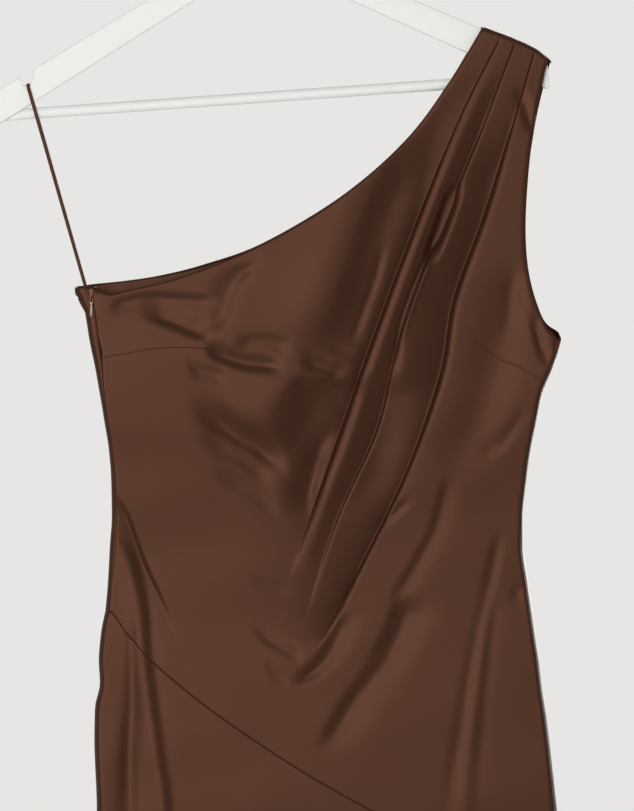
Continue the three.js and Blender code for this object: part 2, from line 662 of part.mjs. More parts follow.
// A straight stem, then round over the crown to an open end. The rail bears on the crown's underside.
function hangerHook() {
  const centreZ = WIRE_RADIUS - HOOK_RADIUS;
  const points = [armTopZ(0) - CROWN_DIP + SEAM_GAP, centreZ - 2 * HOOK_BEND]
    .map((z) => new THREE.Vector3(0, 0, z));
  for (let angle = HOOK_START; angle <= HOOK_END; angle += HOOK_STEP) {
    const turn = THREE.MathUtils.degToRad(angle);
    points.push(new THREE.Vector3(HOOK_RADIUS * Math.cos(turn), 0, centreZ + HOOK_RADIUS * Math.sin(turn)));
  }
  const ring = new THREE.Shape().absarc(0, 0, WIRE_RADIUS, 0, 2 * Math.PI);
  const path = new THREE.CatmullRomCurve3(points);
  return new THREE.ExtrudeGeometry(ring, { steps: 40, curveSegments: 5, extrudePath: path, bevelEnabled: false });
}

// A place on the tilted hanger, in the dress's own frame
function onHanger(x, y, z) {
  return new THREE.Vector3(x, y, z).applyAxisAngle(new THREE.Vector3(0, 1, 0), -TILT);
}

// A narrow ribbon from inside the left underarm, over the notch of the arm and back down behind it
function hangerLoop() {
  const edge = clothPoint('front', LOOP_END.x - LOOP_WIDTH, LOOP_END.z);
  const seat = edge.y + WALL / 2 + SEAM_GAP + LOOP_THICK / 2;
  const faceY = ARM_THICK / 2 + LOOP_CLEAR + LOOP_THICK / 2;
  const notch = onHanger(-NOTCH.x, 0, armTopZ(NOTCH.x) - NOTCH.depth);
  const frontEnd = new THREE.Vector3(LOOP_END.x, seat, LOOP_END.z);
  const backEnd = new THREE.Vector3(LOOP_END.x, seat + LOOP_THICK + SEAM_GAP, LOOP_END.z);
  const onFace = (share, y) => notch.clone().lerp(frontEnd, share).setY(y);
  const overNotch = notch.clone().add(new THREE.Vector3(0, 0, NOTCH_CLEAR + LOOP_THICK / 2));
  const bend = ARM_THICK / 2 + LOOP_CLEAR;
  const path = [
    ...[0, 0.4, 0.8].map((share) => frontEnd.clone().lerp(onFace(LOOP_LEAVES, -faceY), share)),
    onFace(LOOP_LEAVES, -faceY),
    onFace(LOOP_TURNS, -faceY),
    overNotch.clone().setY(-bend),
    overNotch,
    overNotch.clone().setY(bend),
    onFace(LOOP_TURNS, faceY),
    onFace(LOOP_LEAVES, faceY),
    ...[0.2, 0.6, 1].map((share) => onFace(LOOP_LEAVES, faceY).lerp(backEnd, share)),
  ];
  const along = frontEnd.clone().sub(notch).setY(0).normalize();
  const across = new THREE.Vector3(-along.z, 0, along.x).multiplyScalar(LOOP_WIDTH / 2);
  const grid = path.map((point, index) => {
    const before = path[Math.max(0, index - 1)];
    const after = path[Math.min(path.length - 1, index + 1)];
    const out = after.clone().sub(before).cross(across).normalize();
    return [-1, 1].map((side) => ({ point: point.clone().addScaledVector(across, side), out }));
  });
  return wallGeometry(grid, LOOP_THICK / 2, LOOP_THICK / 2);
}

function mesh(name, geometry, color, roughness, metalness = 0) {
  const made = new THREE.Mesh(geometry, new THREE.MeshStandardMaterial({ color, roughness, metalness }));
  made.name = name;
  return made;
}

function buildDress() {
  const dress = new THREE.Group();
  const frontGrid = frontBodiceGrid();
  dress.add(mesh('front_bodice', cloth(frontGrid), COLOURS.satin, 0.42));
  dress.add(mesh('back_bodice', cloth(backBodiceGrid()), COLOURS.satin, 0.42));
  dress.add(mesh('front_skirt', cloth(frontSkirtGrid(frontGrid)), COLOURS.satin, 0.42));
  dress.add(mesh('back_skirt', cloth(backSkirtGrid()), COLOURS.satin, 0.42));
  dress.add(mesh('zip_tape', zipTape(frontGrid), COLOURS.tape, 0.8));
  dress.add(mesh('zip_slider', zipSlider(), COLOURS.metal, 0.35, 0.9));
  dress.add(mesh('zip_pull', zipPull(), COLOURS.metal, 0.35, 0.9));
  dress.add(mesh('hanger_loop', hangerLoop(), COLOURS.ribbon, 0.4));
  return dress;
}

function buildHanger() {
  const hanger = new THREE.Group();
  hanger.rotation.y = -TILT;
  hanger.add(mesh('hanger_arms', hangerArms(), COLOURS.paint, 0.45));
  hanger.add(mesh('hanger_bar', hangerBar(), COLOURS.paint, 0.45));
  hanger.add(mesh('hanger_hook', hangerHook(), COLOURS.steel, 0.25, 1));
  return hanger;
}

const model = new THREE.Group();
model.add(buildDress(), buildHanger());

export default model;
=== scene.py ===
"""A brown satin one-shoulder dress on a painted wooden hanger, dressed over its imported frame.

The cloth is worked out with numpy from the same tables as the solids, only finer, so each panel lies on
its own solid. Tables are in millimetres and meshes in metres, with the front facing -Y and +Z up.
"""

import logging
import math
from dataclasses import dataclass, field
from enum import Enum
from typing import Callable, Sequence, Union

import bpy
import numpy as np
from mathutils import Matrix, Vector


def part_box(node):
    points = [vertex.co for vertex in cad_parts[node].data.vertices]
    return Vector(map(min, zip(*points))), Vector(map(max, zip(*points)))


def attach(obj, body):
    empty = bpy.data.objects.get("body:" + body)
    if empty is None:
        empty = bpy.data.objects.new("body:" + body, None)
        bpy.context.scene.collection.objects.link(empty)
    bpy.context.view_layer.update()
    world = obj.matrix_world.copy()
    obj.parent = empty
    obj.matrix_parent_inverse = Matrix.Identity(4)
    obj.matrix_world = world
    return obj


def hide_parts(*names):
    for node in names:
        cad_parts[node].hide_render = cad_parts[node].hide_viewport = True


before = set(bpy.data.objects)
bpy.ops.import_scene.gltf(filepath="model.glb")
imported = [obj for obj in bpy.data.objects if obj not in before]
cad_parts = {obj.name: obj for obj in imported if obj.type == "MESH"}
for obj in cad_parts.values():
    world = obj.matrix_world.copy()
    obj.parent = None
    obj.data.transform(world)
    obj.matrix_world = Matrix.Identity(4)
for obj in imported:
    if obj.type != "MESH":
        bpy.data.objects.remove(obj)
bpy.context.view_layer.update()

log = logging.getLogger("dress")

MM = 0.001
DRESS = "dress"
PULL_TAB = "pull_tab"

Array = np.ndarray
Colour = tuple[float, float, float]
Points = Sequence[tuple[float, float]]
Guide = Callable[[Array], Array]
Shift = Callable[[Array], Array]
Number = Union[float, Array]


# Curves and readings

def smooth_step(value: Array) -> Array:
    """Three t squared less two t cubed, with t held from 0 to 1."""
    t = np.clip(value, 0.0, 1.0)
    return t * t * (3.0 - 2.0 * t)


def bell(distance: Array, width: float) -> Array:
    """A bell of height 1: e to the power of minus the squared distance over the width."""
    return np.exp(-((distance / width) ** 2))


def rounding(distance: Array, radius: Number) -> Array:
    """The quarter ellipse that closes a side: 0 on the silhouette, 1 a radius further in."""
    left = np.clip(1.0 - np.maximum(0.0, distance) / radius, 0.0, 1.0)
    return np.sqrt(1.0 - left * left)


def smooth_line(points: Points, steps: int = 24) -> Array:
    """Carries a smooth line through points.

    Each stretch is the cubic whose ends have half the chord between their neighbours as slopes.

    Args:
        points: The places that the line passes.
        steps: The number of samples on each stretch.

    Returns:
        The samples, one row each.
    """
    known = np.asarray(points, float)
    padded = np.vstack([known[:1], known, known[-1:]])
    before, start, end, after = (padded[k : k + len(known) - 1, None, :] for k in range(4))
    t = np.linspace(0.0, 1.0, steps, endpoint=False)[None, :, None]
    first, last = (end - before) / 2, (after - start) / 2
    cubic = (2 * start - 2 * end + first + last) * t**3
    square = (3 * end - 3 * start - 2 * first - last) * t**2
    samples = (cubic + square + first * t + start).reshape(-1, known.shape[1])
    return np.vstack([samples, known[-1:]])


def along_line(samples: Array, share: Array) -> Array:
    """Reads a sampled line at shares of its length.

    Args:
        samples: The line's samples, one row each.
        share: Where to read, from 0 at its start to 1 at its end.

    Returns:
        The places, one row for each share.
    """
    gone = np.concatenate([[0.0], np.cumsum(np.linalg.norm(np.diff(samples, axis=0), axis=1))])
    where = np.clip(share, 0.0, 1.0) * gone[-1]
    return np.stack([np.interp(where, gone, samples[:, k]) for k in range(samples.shape[1])], axis=-1)


def quadratic(start: tuple, pull: tuple, end: tuple, count: int) -> Array:
    """Points on the parabola from start to end, drawn towards pull, without its last point."""
    t = np.linspace(0.0, 1.0, count, endpoint=False)[:, None]
    return (1 - t) ** 2 * np.array(start) + 2 * t * (1 - t) * np.array(pull) + t * t * np.array(end)


def cubic(start: tuple, leave: tuple, arrive: tuple, end: tuple, count: int) -> Array:
    """Points on the cubic from start to end with two pulls, without its last point."""
    t = np.linspace(0.0, 1.0, count, endpoint=False)[:, None]
    first = (1 - t) ** 3 * np.array(start) + 3 * t * (1 - t) ** 2 * np.array(leave)
    return first + 3 * t * t * (1 - t) * np.array(arrive) + t**3 * np.array(end)


class Knots:
    """A smooth reading of measured values that never swings past them.

    Between two knots it is the cubic with limited slopes, the harmonic mean of the slopes on both sides
    where these agree in sign and 0 elsewhere. Outside the knots it holds the end values.
    """

    def __init__(self, places: Sequence[float], values: Sequence[float]) -> None:
        """Sorts the knots and works out their slopes."""
        order = np.argsort(places)
        self.places = np.asarray(places, float)[order]
        self.values = np.asarray(values, float)[order]
        steps = np.diff(self.places)
        rates = np.diff(self.values) / steps
        same = rates[:-1] * rates[1:] > 0
        total = np.where(same, rates[:-1] + rates[1:], 1.0)
        middle = np.where(same, 2 * rates[:-1] * rates[1:] / total, 0.0)
        self.slopes = np.concatenate([rates[:1], middle, rates[-1:]])

    def __call__(self, where: Array) -> Array:
        """Reads the values at the given places."""
        at = np.clip(where, self.places[0], self.places[-1])
        low = np.clip(np.searchsorted(self.places, at, side="right") - 1, 0, len(self.places) - 2)
        step = self.places[low + 1] - self.places[low]
        t = (at - self.places[low]) / step
        held = (1 + 2 * t) * (1 - t) ** 2 * self.values[low] + t * t * (3 - 2 * t) * self.values[low + 1]
        leaned = t * (1 - t) ** 2 * self.slopes[low] - t * t * (1 - t) * self.slopes[low + 1]
        return held + step * leaned


# Meshes from grids

def quads_of(rows: int, columns: int, wraps: tuple[bool, bool], flip: bool) -> Array:
    """The corner numbers of a grid's quads.

    Args:
        rows: The number of rows of the grid.
        columns: The number of columns.
        wraps: Whether the last row meets the first, and the last column the first.
        flip: Whether the faces turn the other way.

    Returns:
        One row of four numbers for each quad.
    """
    index = np.arange(rows * columns).reshape(rows, columns)
    if wraps[0]:
        index = np.vstack([index, index[:1]])
    if wraps[1]:
        index = np.hstack([index, index[:, :1]])
    quads = np.stack([index[:-1, :-1], index[1:, :-1], index[1:, 1:], index[:-1, 1:]], axis=-1).reshape(-1, 4)
    return quads[:, ::-1] if flip else quads


def surface(
    name: str,
    grid: Array,
    wraps: tuple[bool, bool] = (False, False),
    caps: bool = False,
    flip: bool = False,
    flat: Union[Array, None] = None,
    lids: Union[Array, None] = None,
) -> bpy.types.Object:
    """Makes a mesh object from a grid of points in millimetres.

    Args:
        name: The piece's name.
        grid: The points, rows by columns by three.
        wraps: Whether rows and columns close on themselves.
        caps: Whether the first and the last row are closed with a face.
        flip: Whether the faces turn the other way.
        flat: The places of the points on the uncut cloth in millimetres, for the UV map.
        lids: More faces, one row of corner numbers each.

    Returns:
        The object, linked to the scene.
    """
    rows, columns = grid.shape[:2]
    faces = quads_of(rows, columns, wraps, flip).tolist()
    if caps:
        first = list(range(columns))
        last = list(range((rows - 1) * columns, rows * columns))
        faces += [first[::-1], last] if flip else [first, last[::-1]]
    if lids is not None:
        faces += lids.tolist()
    mesh = bpy.data.meshes.new(name)
    mesh.from_pydata((grid.reshape(-1, 3) * MM).tolist(), [], faces)
    mesh.polygons.foreach_set("use_smooth", np.ones(len(faces), bool))
    if flat is not None:
        corners = np.zeros(len(mesh.loops), np.int32)
        mesh.loops.foreach_get("vertex_index", corners)
        layer = mesh.uv_layers.new(name="cloth")
        layer.data.foreach_set("uv", (flat.reshape(-1, 2)[corners] * MM).astype(np.float32).ravel())
    mesh.update()
    made = bpy.data.objects.new(name, mesh)
    bpy.context.scene.collection.objects.link(made)
    return made


def thicken(made: bpy.types.Object, thickness: float) -> None:
    """Gives a surface its thickness in millimetres, half of it on each side."""
    wall = made.modifiers.new("wall", "SOLIDIFY")
    wall.thickness = thickness * MM
    wall.offset = 0.0


def tube(
    name: str,
    path: Array,
    radius: Union[float, Array],
    reference: tuple[float, float, float],
    sides: int = 16,
) -> bpy.types.Object:
    """Carries a circle along a path.

    Each ring stands square to the path: the path's direction crossed with the reference gives its first
    axis, and the direction crossed with that its second.

    Args:
        name: The piece's name.
        path: The middle line in millimetres, one row for each ring.
        radius: The ring's radius, one value or one for each ring.
        reference: A direction that the path never takes.
        sides: The number of points round a ring.

    Returns:
        The object, with both ends closed.
    """
    ahead = np.gradient(path, axis=0)
    ahead /= np.linalg.norm(ahead, axis=1, keepdims=True)
    first = np.cross(ahead, np.asarray(reference, float))
    first /= np.linalg.norm(first, axis=1, keepdims=True)
    second = np.cross(ahead, first)
    turn = np.linspace(0.0, 2 * np.pi, sides, endpoint=False)
    ring = first[:, None] * np.cos(turn)[None, :, None] + second[:, None] * np.sin(turn)[None, :, None]
    size = np.broadcast_to(np.asarray(radius, float), (len(path),))[:, None, None]
    return surface(name, path[:, None] + ring * size, wraps=(False, True), caps=True, flip=True)


def round_ends(path: Array, radius: float, steps: int = 6) -> tuple[Array, Array]:
    """Adds a rounded tip to both ends of a path, for a tube.

    A tip's rings lie at the sine of an angle beyond the end, and shrink with its cosine.

    Args:
        path: The middle line in millimetres.
        radius: The tube's radius.
        steps: The number of rings on a tip.

    Returns:
        The longer path and the radius of each ring.
    """
    angle = np.linspace(0.0, 0.47 * np.pi, steps + 1)[1:, None]
    head = path[0] - path[1]
    tail = path[-1] - path[-2]
    head_tip = path[0] + head / np.linalg.norm(head) * radius * np.sin(angle)
    tail_tip = path[-1] + tail / np.linalg.norm(tail) * radius * np.sin(angle)
    shrink = radius * np.cos(angle[:, 0])
    sizes = np.concatenate([shrink[::-1], np.full(len(path), radius), shrink])
    return np.vstack([head_tip[::-1], path, tail_tip]), sizes


def rounded_board(
    name: str, first_side: Array, second_side: Array, near: float, far: float, edge: float
) -> bpy.types.Object:
    """Carries an outline along Y, with its edges rounded over.

    Rings run from the near face to the far one. At angle a of a quarter turn a ring stands in by the
    edge's radius times 1 less the sine of a, and lies that radius times 1 less the cosine behind its face.
    A corner moves in along its mitre, the sum of both normals over 1 plus their product.
    The two faces are closed by rungs between the sides.

    Args:
        name: The piece's name.
        first_side: One side of the outline in x and z, in millimetres. The board lies on its left.
        second_side: The other side, with as many points and in the same order.
        near: The y of the near face.
        far: The y of the far face.
        edge: The radius of the rounded edge.

    Returns:
        The object.
    """
    outline = np.vstack([first_side, second_side[::-1]])
    leg = np.roll(outline, -1, axis=0) - outline
    leg /= np.linalg.norm(leg, axis=1, keepdims=True)
    square = np.stack([-leg[:, 1], leg[:, 0]], axis=-1)
    before = np.roll(square, 1, axis=0)
    inward = (square + before) / (1 + np.sum(square * before, axis=1, keepdims=True))
    angle = np.linspace(0.0, np.pi / 2, 5)
    inset = edge * (1 - np.sin(angle))
    behind = edge * (1 - np.cos(angle))
    insets = np.concatenate([inset, inset[::-1]])
    depths = np.concatenate([near + behind, (far - behind)[::-1]])
    rings = outline[None] + inward[None] * insets[:, None, None]
    y = np.broadcast_to(depths[:, None], rings.shape[:2])
    grid = np.stack([rings[..., 0], y, rings[..., 1]], axis=-1)
    count, last = len(first_side), (len(depths) - 1) * len(outline)
    rung = np.arange(count - 1)
    lid = np.stack([rung, rung + 1, 2 * count - 2 - rung, 2 * count - 1 - rung], axis=-1)
    return surface(name, grid, wraps=(False, True), lids=np.vstack([lid, lid[:, ::-1] + last]))


# Shader maths

class Sock:
    """A socket of a shader, on which sums are written as Python expressions."""

    def __init__(self, shader: "Shader", socket: bpy.types.NodeSocket) -> None:
        """Keeps the shader and the socket."""
        self.shader = shader
        self.socket = socket

    def sum_of(self, operation: str, first: "Value", second: "Value") -> "Sock":
        """Adds one Math node."""
        return self.shader.node("ShaderNodeMath", {"operation": operation}, {0: first, 1: second})

    def __add__(self, other: "Value") -> "Sock":
        """This plus the other."""
        return self.sum_of("ADD", self, other)

    def __radd__(self, other: "Value") -> "Sock":
        """The other plus this."""
        return self.sum_of("ADD", other, self)

    def __sub__(self, other: "Value") -> "Sock":
        """This less the other."""
        return self.sum_of("SUBTRACT", self, other)

    def __rsub__(self, other: "Value") -> "Sock":
        """The other less this."""
        return self.sum_of("SUBTRACT", other, self)

    def __mul__(self, other: "Value") -> "Sock":
        """This times the other."""
        return self.sum_of("MULTIPLY", self, other)

    def __rmul__(self, other: "Value") -> "Sock":
        """The other times this."""
        return self.sum_of("MULTIPLY", other, self)


Value = Union[float, int, tuple, Sock]


class Shader:
    """Builds one node material."""

    def __init__(self, name: str) -> None:
        """Starts an empty material of this name."""
        self.material = bpy.data.materials.new(name)
        self.material.use_nodes = True
        self.tree = self.material.node_tree
        self.tree.nodes.clear()

    def node(self, kind: str, settings: dict, sockets: dict, output: Union[int, str] = 0) -> Sock:
        """Adds one node, with its settings first and then its sockets.

        Args:
            kind: The node's type.
            settings: Its own properties, and "stops" for a ramp's places and colours.
            sockets: Values or links by a socket's name or number.
            output: The name or number of the output that is wanted.

        Returns:
            The wanted output.
        """
        made = self.tree.nodes.new(kind)
        for key, value in settings.items():
            if key == "stops":
                self.set_stops(made.color_ramp, value)
            else:
                setattr(made, key, value)
        for key, value in sockets.items():
            if isinstance(value, Sock):
                self.tree.links.new(value.socket, made.inputs[key])
            else:
                made.inputs[key].default_value = value
        return Sock(self, made.outputs[output])

    def set_stops(self, ramp: bpy.types.ColorRamp, stops: Sequence[tuple[float, float]]) -> None:
        """Sets a ramp's places and grey levels."""
        while len(ramp.elements) < len(stops):
            ramp.elements.new(1.0)
        for element, (place, grey) in zip(ramp.elements, stops):
            element.position = place
            element.color = (grey, grey, grey, 1.0)

    def here(self) -> Sock:
        """The place on the object, in metres."""
        return self.node("ShaderNodeTexCoord", {}, {}, "Object")

    def flat(self) -> Sock:
        """The place on the uncut cloth, in metres."""
        return self.node("ShaderNodeUVMap", {"uv_map": "cloth"}, {}, "UV")

    def stretched(self, place: Sock, scale: tuple[float, float, float]) -> Sock:
        """The place scaled by three factors."""
        return self.node("ShaderNodeMapping", {"vector_type": "POINT"}, {"Vector": place, "Scale": scale})

    def noise(self, place: Sock, scale: float, detail: float = 2.0) -> Sock:
        """Soft noise around one half, so many lumps to the metre."""
        return self.node("ShaderNodeTexNoise", {}, {"Vector": place, "Scale": scale, "Detail": detail}, "Fac")

    def ramp(self, value: Sock, stops: Sequence[tuple[float, float]]) -> Sock:
        """A grey ramp over a value."""
        return self.node("ShaderNodeValToRGB", {"stops": stops}, {"Fac": value}, "Color")

    def mixed(self, share: Value, first: Value, second: Value) -> Sock:
        """A colour between two, by a share."""
        return self.node("ShaderNodeMix", {"data_type": "RGBA"}, {0: share, 6: first, 7: second}, 2)

    def bumped(self, height: Sock, strength: float, depth: float) -> Sock:
        """A normal that follows a height, with its depth in metres."""
        sockets = {"Height": height, "Strength": strength, "Distance": depth}
        return self.node("ShaderNodeBump", {}, sockets, "Normal")

    def finished(self, sockets: dict) -> bpy.types.Material:
        """Closes the material with its main shader."""
        main = self.node("ShaderNodeBsdfPrincipled", {}, sockets, "BSDF")
        self.node_output(main)
        return self.material

    def node_output(self, main: Sock) -> None:
        """Links the main shader to the material's output."""
        end = self.tree.nodes.new("ShaderNodeOutputMaterial")
        self.tree.links.new(main.socket, end.inputs["Surface"])


def opaque(colour: Colour) -> tuple[float, float, float, float]:
    """A colour with full cover."""
    return (*colour, 1.0)


@dataclass(frozen=True)
class Satin:
    """Polyester satin: fine threads down the cloth, and a lustre in the colour of its threads."""

    name: str = "brown_satin"
    warm: Colour = (0.069, 0.0272, 0.0151)
    deep: Colour = (0.065, 0.0257, 0.0142)
    roughness: float = 0.44
    gloss: float = 0.1
    lustre: float = 0.5

    def make(self) -> bpy.types.Material:
        """Clouds mix the two browns, and stretched noise makes the threads of the bump."""
        shader = Shader(self.name)
        flat = shader.flat()
        clouds = shader.noise(shader.stretched(flat, (1.0, 0.6, 1.0)), 34.0, 3.0)
        threads = shader.noise(shader.stretched(flat, (1.0, 0.05, 1.0)), 2600.0, 2.0)
        slubs = shader.noise(shader.stretched(flat, (0.12, 1.0, 1.0)), 900.0, 2.0)
        colour = shader.mixed(shader.ramp(clouds, [(0.35, 0.0), (0.65, 1.0)]), opaque(self.deep), opaque(self.warm))
        rough = self.roughness - 0.03 + clouds * 0.03 + threads * 0.03
        height = threads * 0.7 + slubs * 0.3
        return shader.finished({
            "Base Color": colour,
            "Roughness": rough,
            "Metallic": self.lustre,
            "Specular IOR Level": self.gloss,
            "Normal": shader.bumped(height, 0.22, 0.00006),
        })


@dataclass(frozen=True)
class Ribbon:
    """Narrow woven satin ribbon, ribbed across its width."""

    name: str = "brown_ribbon"
    warm: Colour = (0.096, 0.034, 0.0185)
    deep: Colour = (0.072, 0.025, 0.0135)
    roughness: float = 0.5

    def make(self) -> bpy.types.Material:
        """Noise stretched across the ribbon makes its ribs."""
        shader = Shader(self.name)
        flat = shader.flat()
        ribs = shader.noise(shader.stretched(flat, (0.1, 1.0, 1.0)), 2400.0, 1.0)
        clouds = shader.noise(flat, 120.0, 2.0)
        return shader.finished({
            "Base Color": shader.mixed(clouds, opaque(self.deep), opaque(self.warm)),
            "Roughness": self.roughness + ribs * 0.08,
            "Specular IOR Level": 0.1,
            "Normal": shader.bumped(ribs, 0.4, 0.00008),
        })


@dataclass(frozen=True)
class Tape:
    """Knitted zip tape, dull, with fine ribs."""

    name: str = "zip_tape_knit"
    light: Colour = (0.045, 0.022, 0.016)
    # The second colour is painted shade for the hollows between the ribs.
    groove_shade: Colour = (0.022, 0.011, 0.008)

    def make(self) -> bpy.types.Material:
        """Ribs down the tape from stretched noise; the colour darkens between them as painted shade in the grooves.
        """
        shader = Shader(self.name)
        ribs = shader.noise(shader.stretched(shader.here(), (1.0, 1.0, 0.08)), 1500.0, 1.0)
        return shader.finished({
            "Base Color": shader.mixed(ribs, opaque(self.groove_shade), opaque(self.light)),
            "Roughness": 0.85,
            "Normal": shader.bumped(ribs, 0.5, 0.00015),
        })


@dataclass(frozen=True)
class Metal:
    """Metal with fine scratches, for the zip and for the hook."""

    name: str
    tint: Colour
    roughness: float
    wear: float = 900.0

    def make(self) -> bpy.types.Material:
        """Noise drawn out along Z roughens the metal and tints it a little."""
        shader = Shader(self.name)
        here = shader.here()
        scratches = shader.noise(shader.stretched(here, (1.0, 1.0, 0.15)), self.wear, 3.0)
        darker = tuple(channel * 0.8 for channel in self.tint)
        return shader.finished({
            "Base Color": shader.mixed(scratches, opaque(darker), opaque(self.tint)),
            "Metallic": 1.0,
            "Roughness": self.roughness - 0.05 + scratches * 0.12,
            "Normal": shader.bumped(scratches, 0.12, 0.00003),
        })


@dataclass(frozen=True)
class Paint:
    """White satin paint on wood, with its grain just showing through."""

    name: str = "hanger_paint"
    light: Colour = (0.875, 0.89, 0.855)
    dull: Colour = (0.845, 0.86, 0.825)
    roughness: float = 0.58

    def make(self) -> bpy.types.Material:
        """Long grain for the bump, and faint clouds for the colour."""
        shader = Shader(self.name)
        here = shader.here()
        grain = shader.noise(shader.stretched(here, (0.12, 1.0, 1.0)), 420.0, 3.0)
        clouds = shader.noise(here, 24.0, 2.0)
        return shader.finished({
            "Base Color": shader.mixed(clouds, opaque(self.dull), opaque(self.light)),
            "Roughness": self.roughness + grain * 0.08,
            "Coat Weight": 0.04,
            "Coat Roughness": 0.25,
            "Normal": shader.bumped(grain, 0.12, 0.0002),
        })


@dataclass(frozen=True)
class Plaster:
    """Plain pale floor."""

    name: str = "pale_floor"
    light: Colour = (0.80, 0.79, 0.775)

    def make(self) -> bpy.types.Material:
        """Very faint clouds on a dull surface."""
        shader = Shader(self.name)
        clouds = shader.noise(shader.here(), 3.0, 2.0)
        darker = tuple(channel * 0.97 for channel in self.light)
        return shader.finished({
            "Base Color": shader.mixed(clouds, opaque(darker), opaque(self.light)),
            "Roughness": 0.9,
            "Normal": shader.bumped(clouds, 0.05, 0.002),
        })


# The form of the cloth

class Face(Enum):
    """The side of the dress on which a panel lies."""

    FRONT = "front"
    BACK = "back"


class FoldKind(Enum):
    """The profile of a fold."""

    SOFT = "soft"
    TUCK = "tuck"


class Run(Enum):
    """The way in which a fold runs: the axis along it and the axis across it, x is 0 and z is 1."""

    DOWN = (1, 0)
    ACROSS = (0, 1)


@dataclass(frozen=True)
class Fold:
    """One fold of the cloth, in millimetres.

    A soft fold is a bell with its own width on each side. A tuck leaves the cloth on the right of its line as
    it is, falls over a steep step at the line and comes back gently on the left. On a line across, left means
    below and right means above.
    """

    rise: float
    left: float
    right: float
    fade_in: float
    fade_out: float
    line: tuple[tuple[float, float], ...]
    kind: FoldKind = FoldKind.SOFT
    run: Run = Run.DOWN
    step: float = 1.7

    def strength(self, along: Array, first: float, last: float) -> Array:
        """How much of the fold there is: it grows over its first stretch and dies over its last."""
        gone = (along - first) * math.copysign(1.0, last - first)
        length = abs(last - first)
        grown = smooth_step(gone / self.fade_in)
        dying = smooth_step((length - gone) / self.fade_out)
        return grown * dying * (gone > -1.0) * (gone < length)

    def shape(self, x: Array, z: Array) -> Array:
        """The fold's height.

        Args:
            x: Places across the dress.
            z: Heights of the places.

        Returns:
            The height away from the body, in millimetres.
        """
        samples = smooth_line(self.line, 8)
        along_axis, over_axis = self.run.value
        order = np.argsort(samples[:, along_axis])
        place = (x, z)
        along = place[along_axis]
        line = np.interp(along, samples[order, along_axis], samples[order, over_axis])
        aside = place[over_axis] - line
        strength = self.strength(along, samples[0, along_axis], samples[-1, along_axis])
        width = np.where(aside < 0, self.left, self.right)
        if self.kind is FoldKind.SOFT:
            return self.rise * strength * np.exp(-((aside / width) ** 2))
        over = smooth_step((aside / self.step + 1) / 2)
        reach = np.exp(-np.abs(aside) / width)
        return strength * reach * (self.rise * (1 - over))


def tuck(drop: float, left: float, right: float, fades: tuple[float, float], line: tuple, step: float) -> Fold:
    """A tuck that runs down the panel and drops on the left of its line."""
    return Fold(-drop, left, right, *fades, line, FoldKind.TUCK, step=step)


def soft(rise: float, left: float, right: float, fades: tuple[float, float], *line: tuple) -> Fold:
    """A soft fold that runs down the panel."""
    return Fold(rise, left, right, *fades, line)


def across(rise: float, below: float, above: float, fades: tuple[float, float], *line: tuple) -> Fold:
    """A soft fold that runs across the panel, from the left to the right."""
    return Fold(rise, below, above, *fades, line, run=Run.ACROSS)


def moved(line: tuple, sideways: float) -> tuple:
    """The same line, moved across the dress."""
    return tuple((x + sideways, z) for x, z in line)


FIRST_PLEAT = ((202, -147), (168, -213), (134, -298), (96, -400), (65, -489), (27, -596), (7.5, -720.5))
SECOND_PLEAT = (
    (213.5, -151), (189.5, -214), (168.5, -266), (142, -330), (118, -398), (101, -467), (67, -544),
    (38.5, -637), (26.5, -732.5),
)
THIRD_PLEAT = (
    (229, -158.5), (209.5, -224.5), (188.5, -293.5), (164, -361.5), (153.5, -420.5), (127.5, -496),
    (90, -574), (51.5, -645), (42.5, -744),
)
LAST_BORDER = (
    (236, -162.5), (222.5, -216), (207, -313), (188.5, -382), (172, -453.5), (148.5, -532.5),
    (118, -599), (85, -680), (71, -760),
)

HIP_FOLD = (
    (-111, -546), (-99, -566), (-91, -594), (-87, -618), (-85, -651), (-75, -728), (-69, -775), (-65, -900),
    (-62, -1400),
)

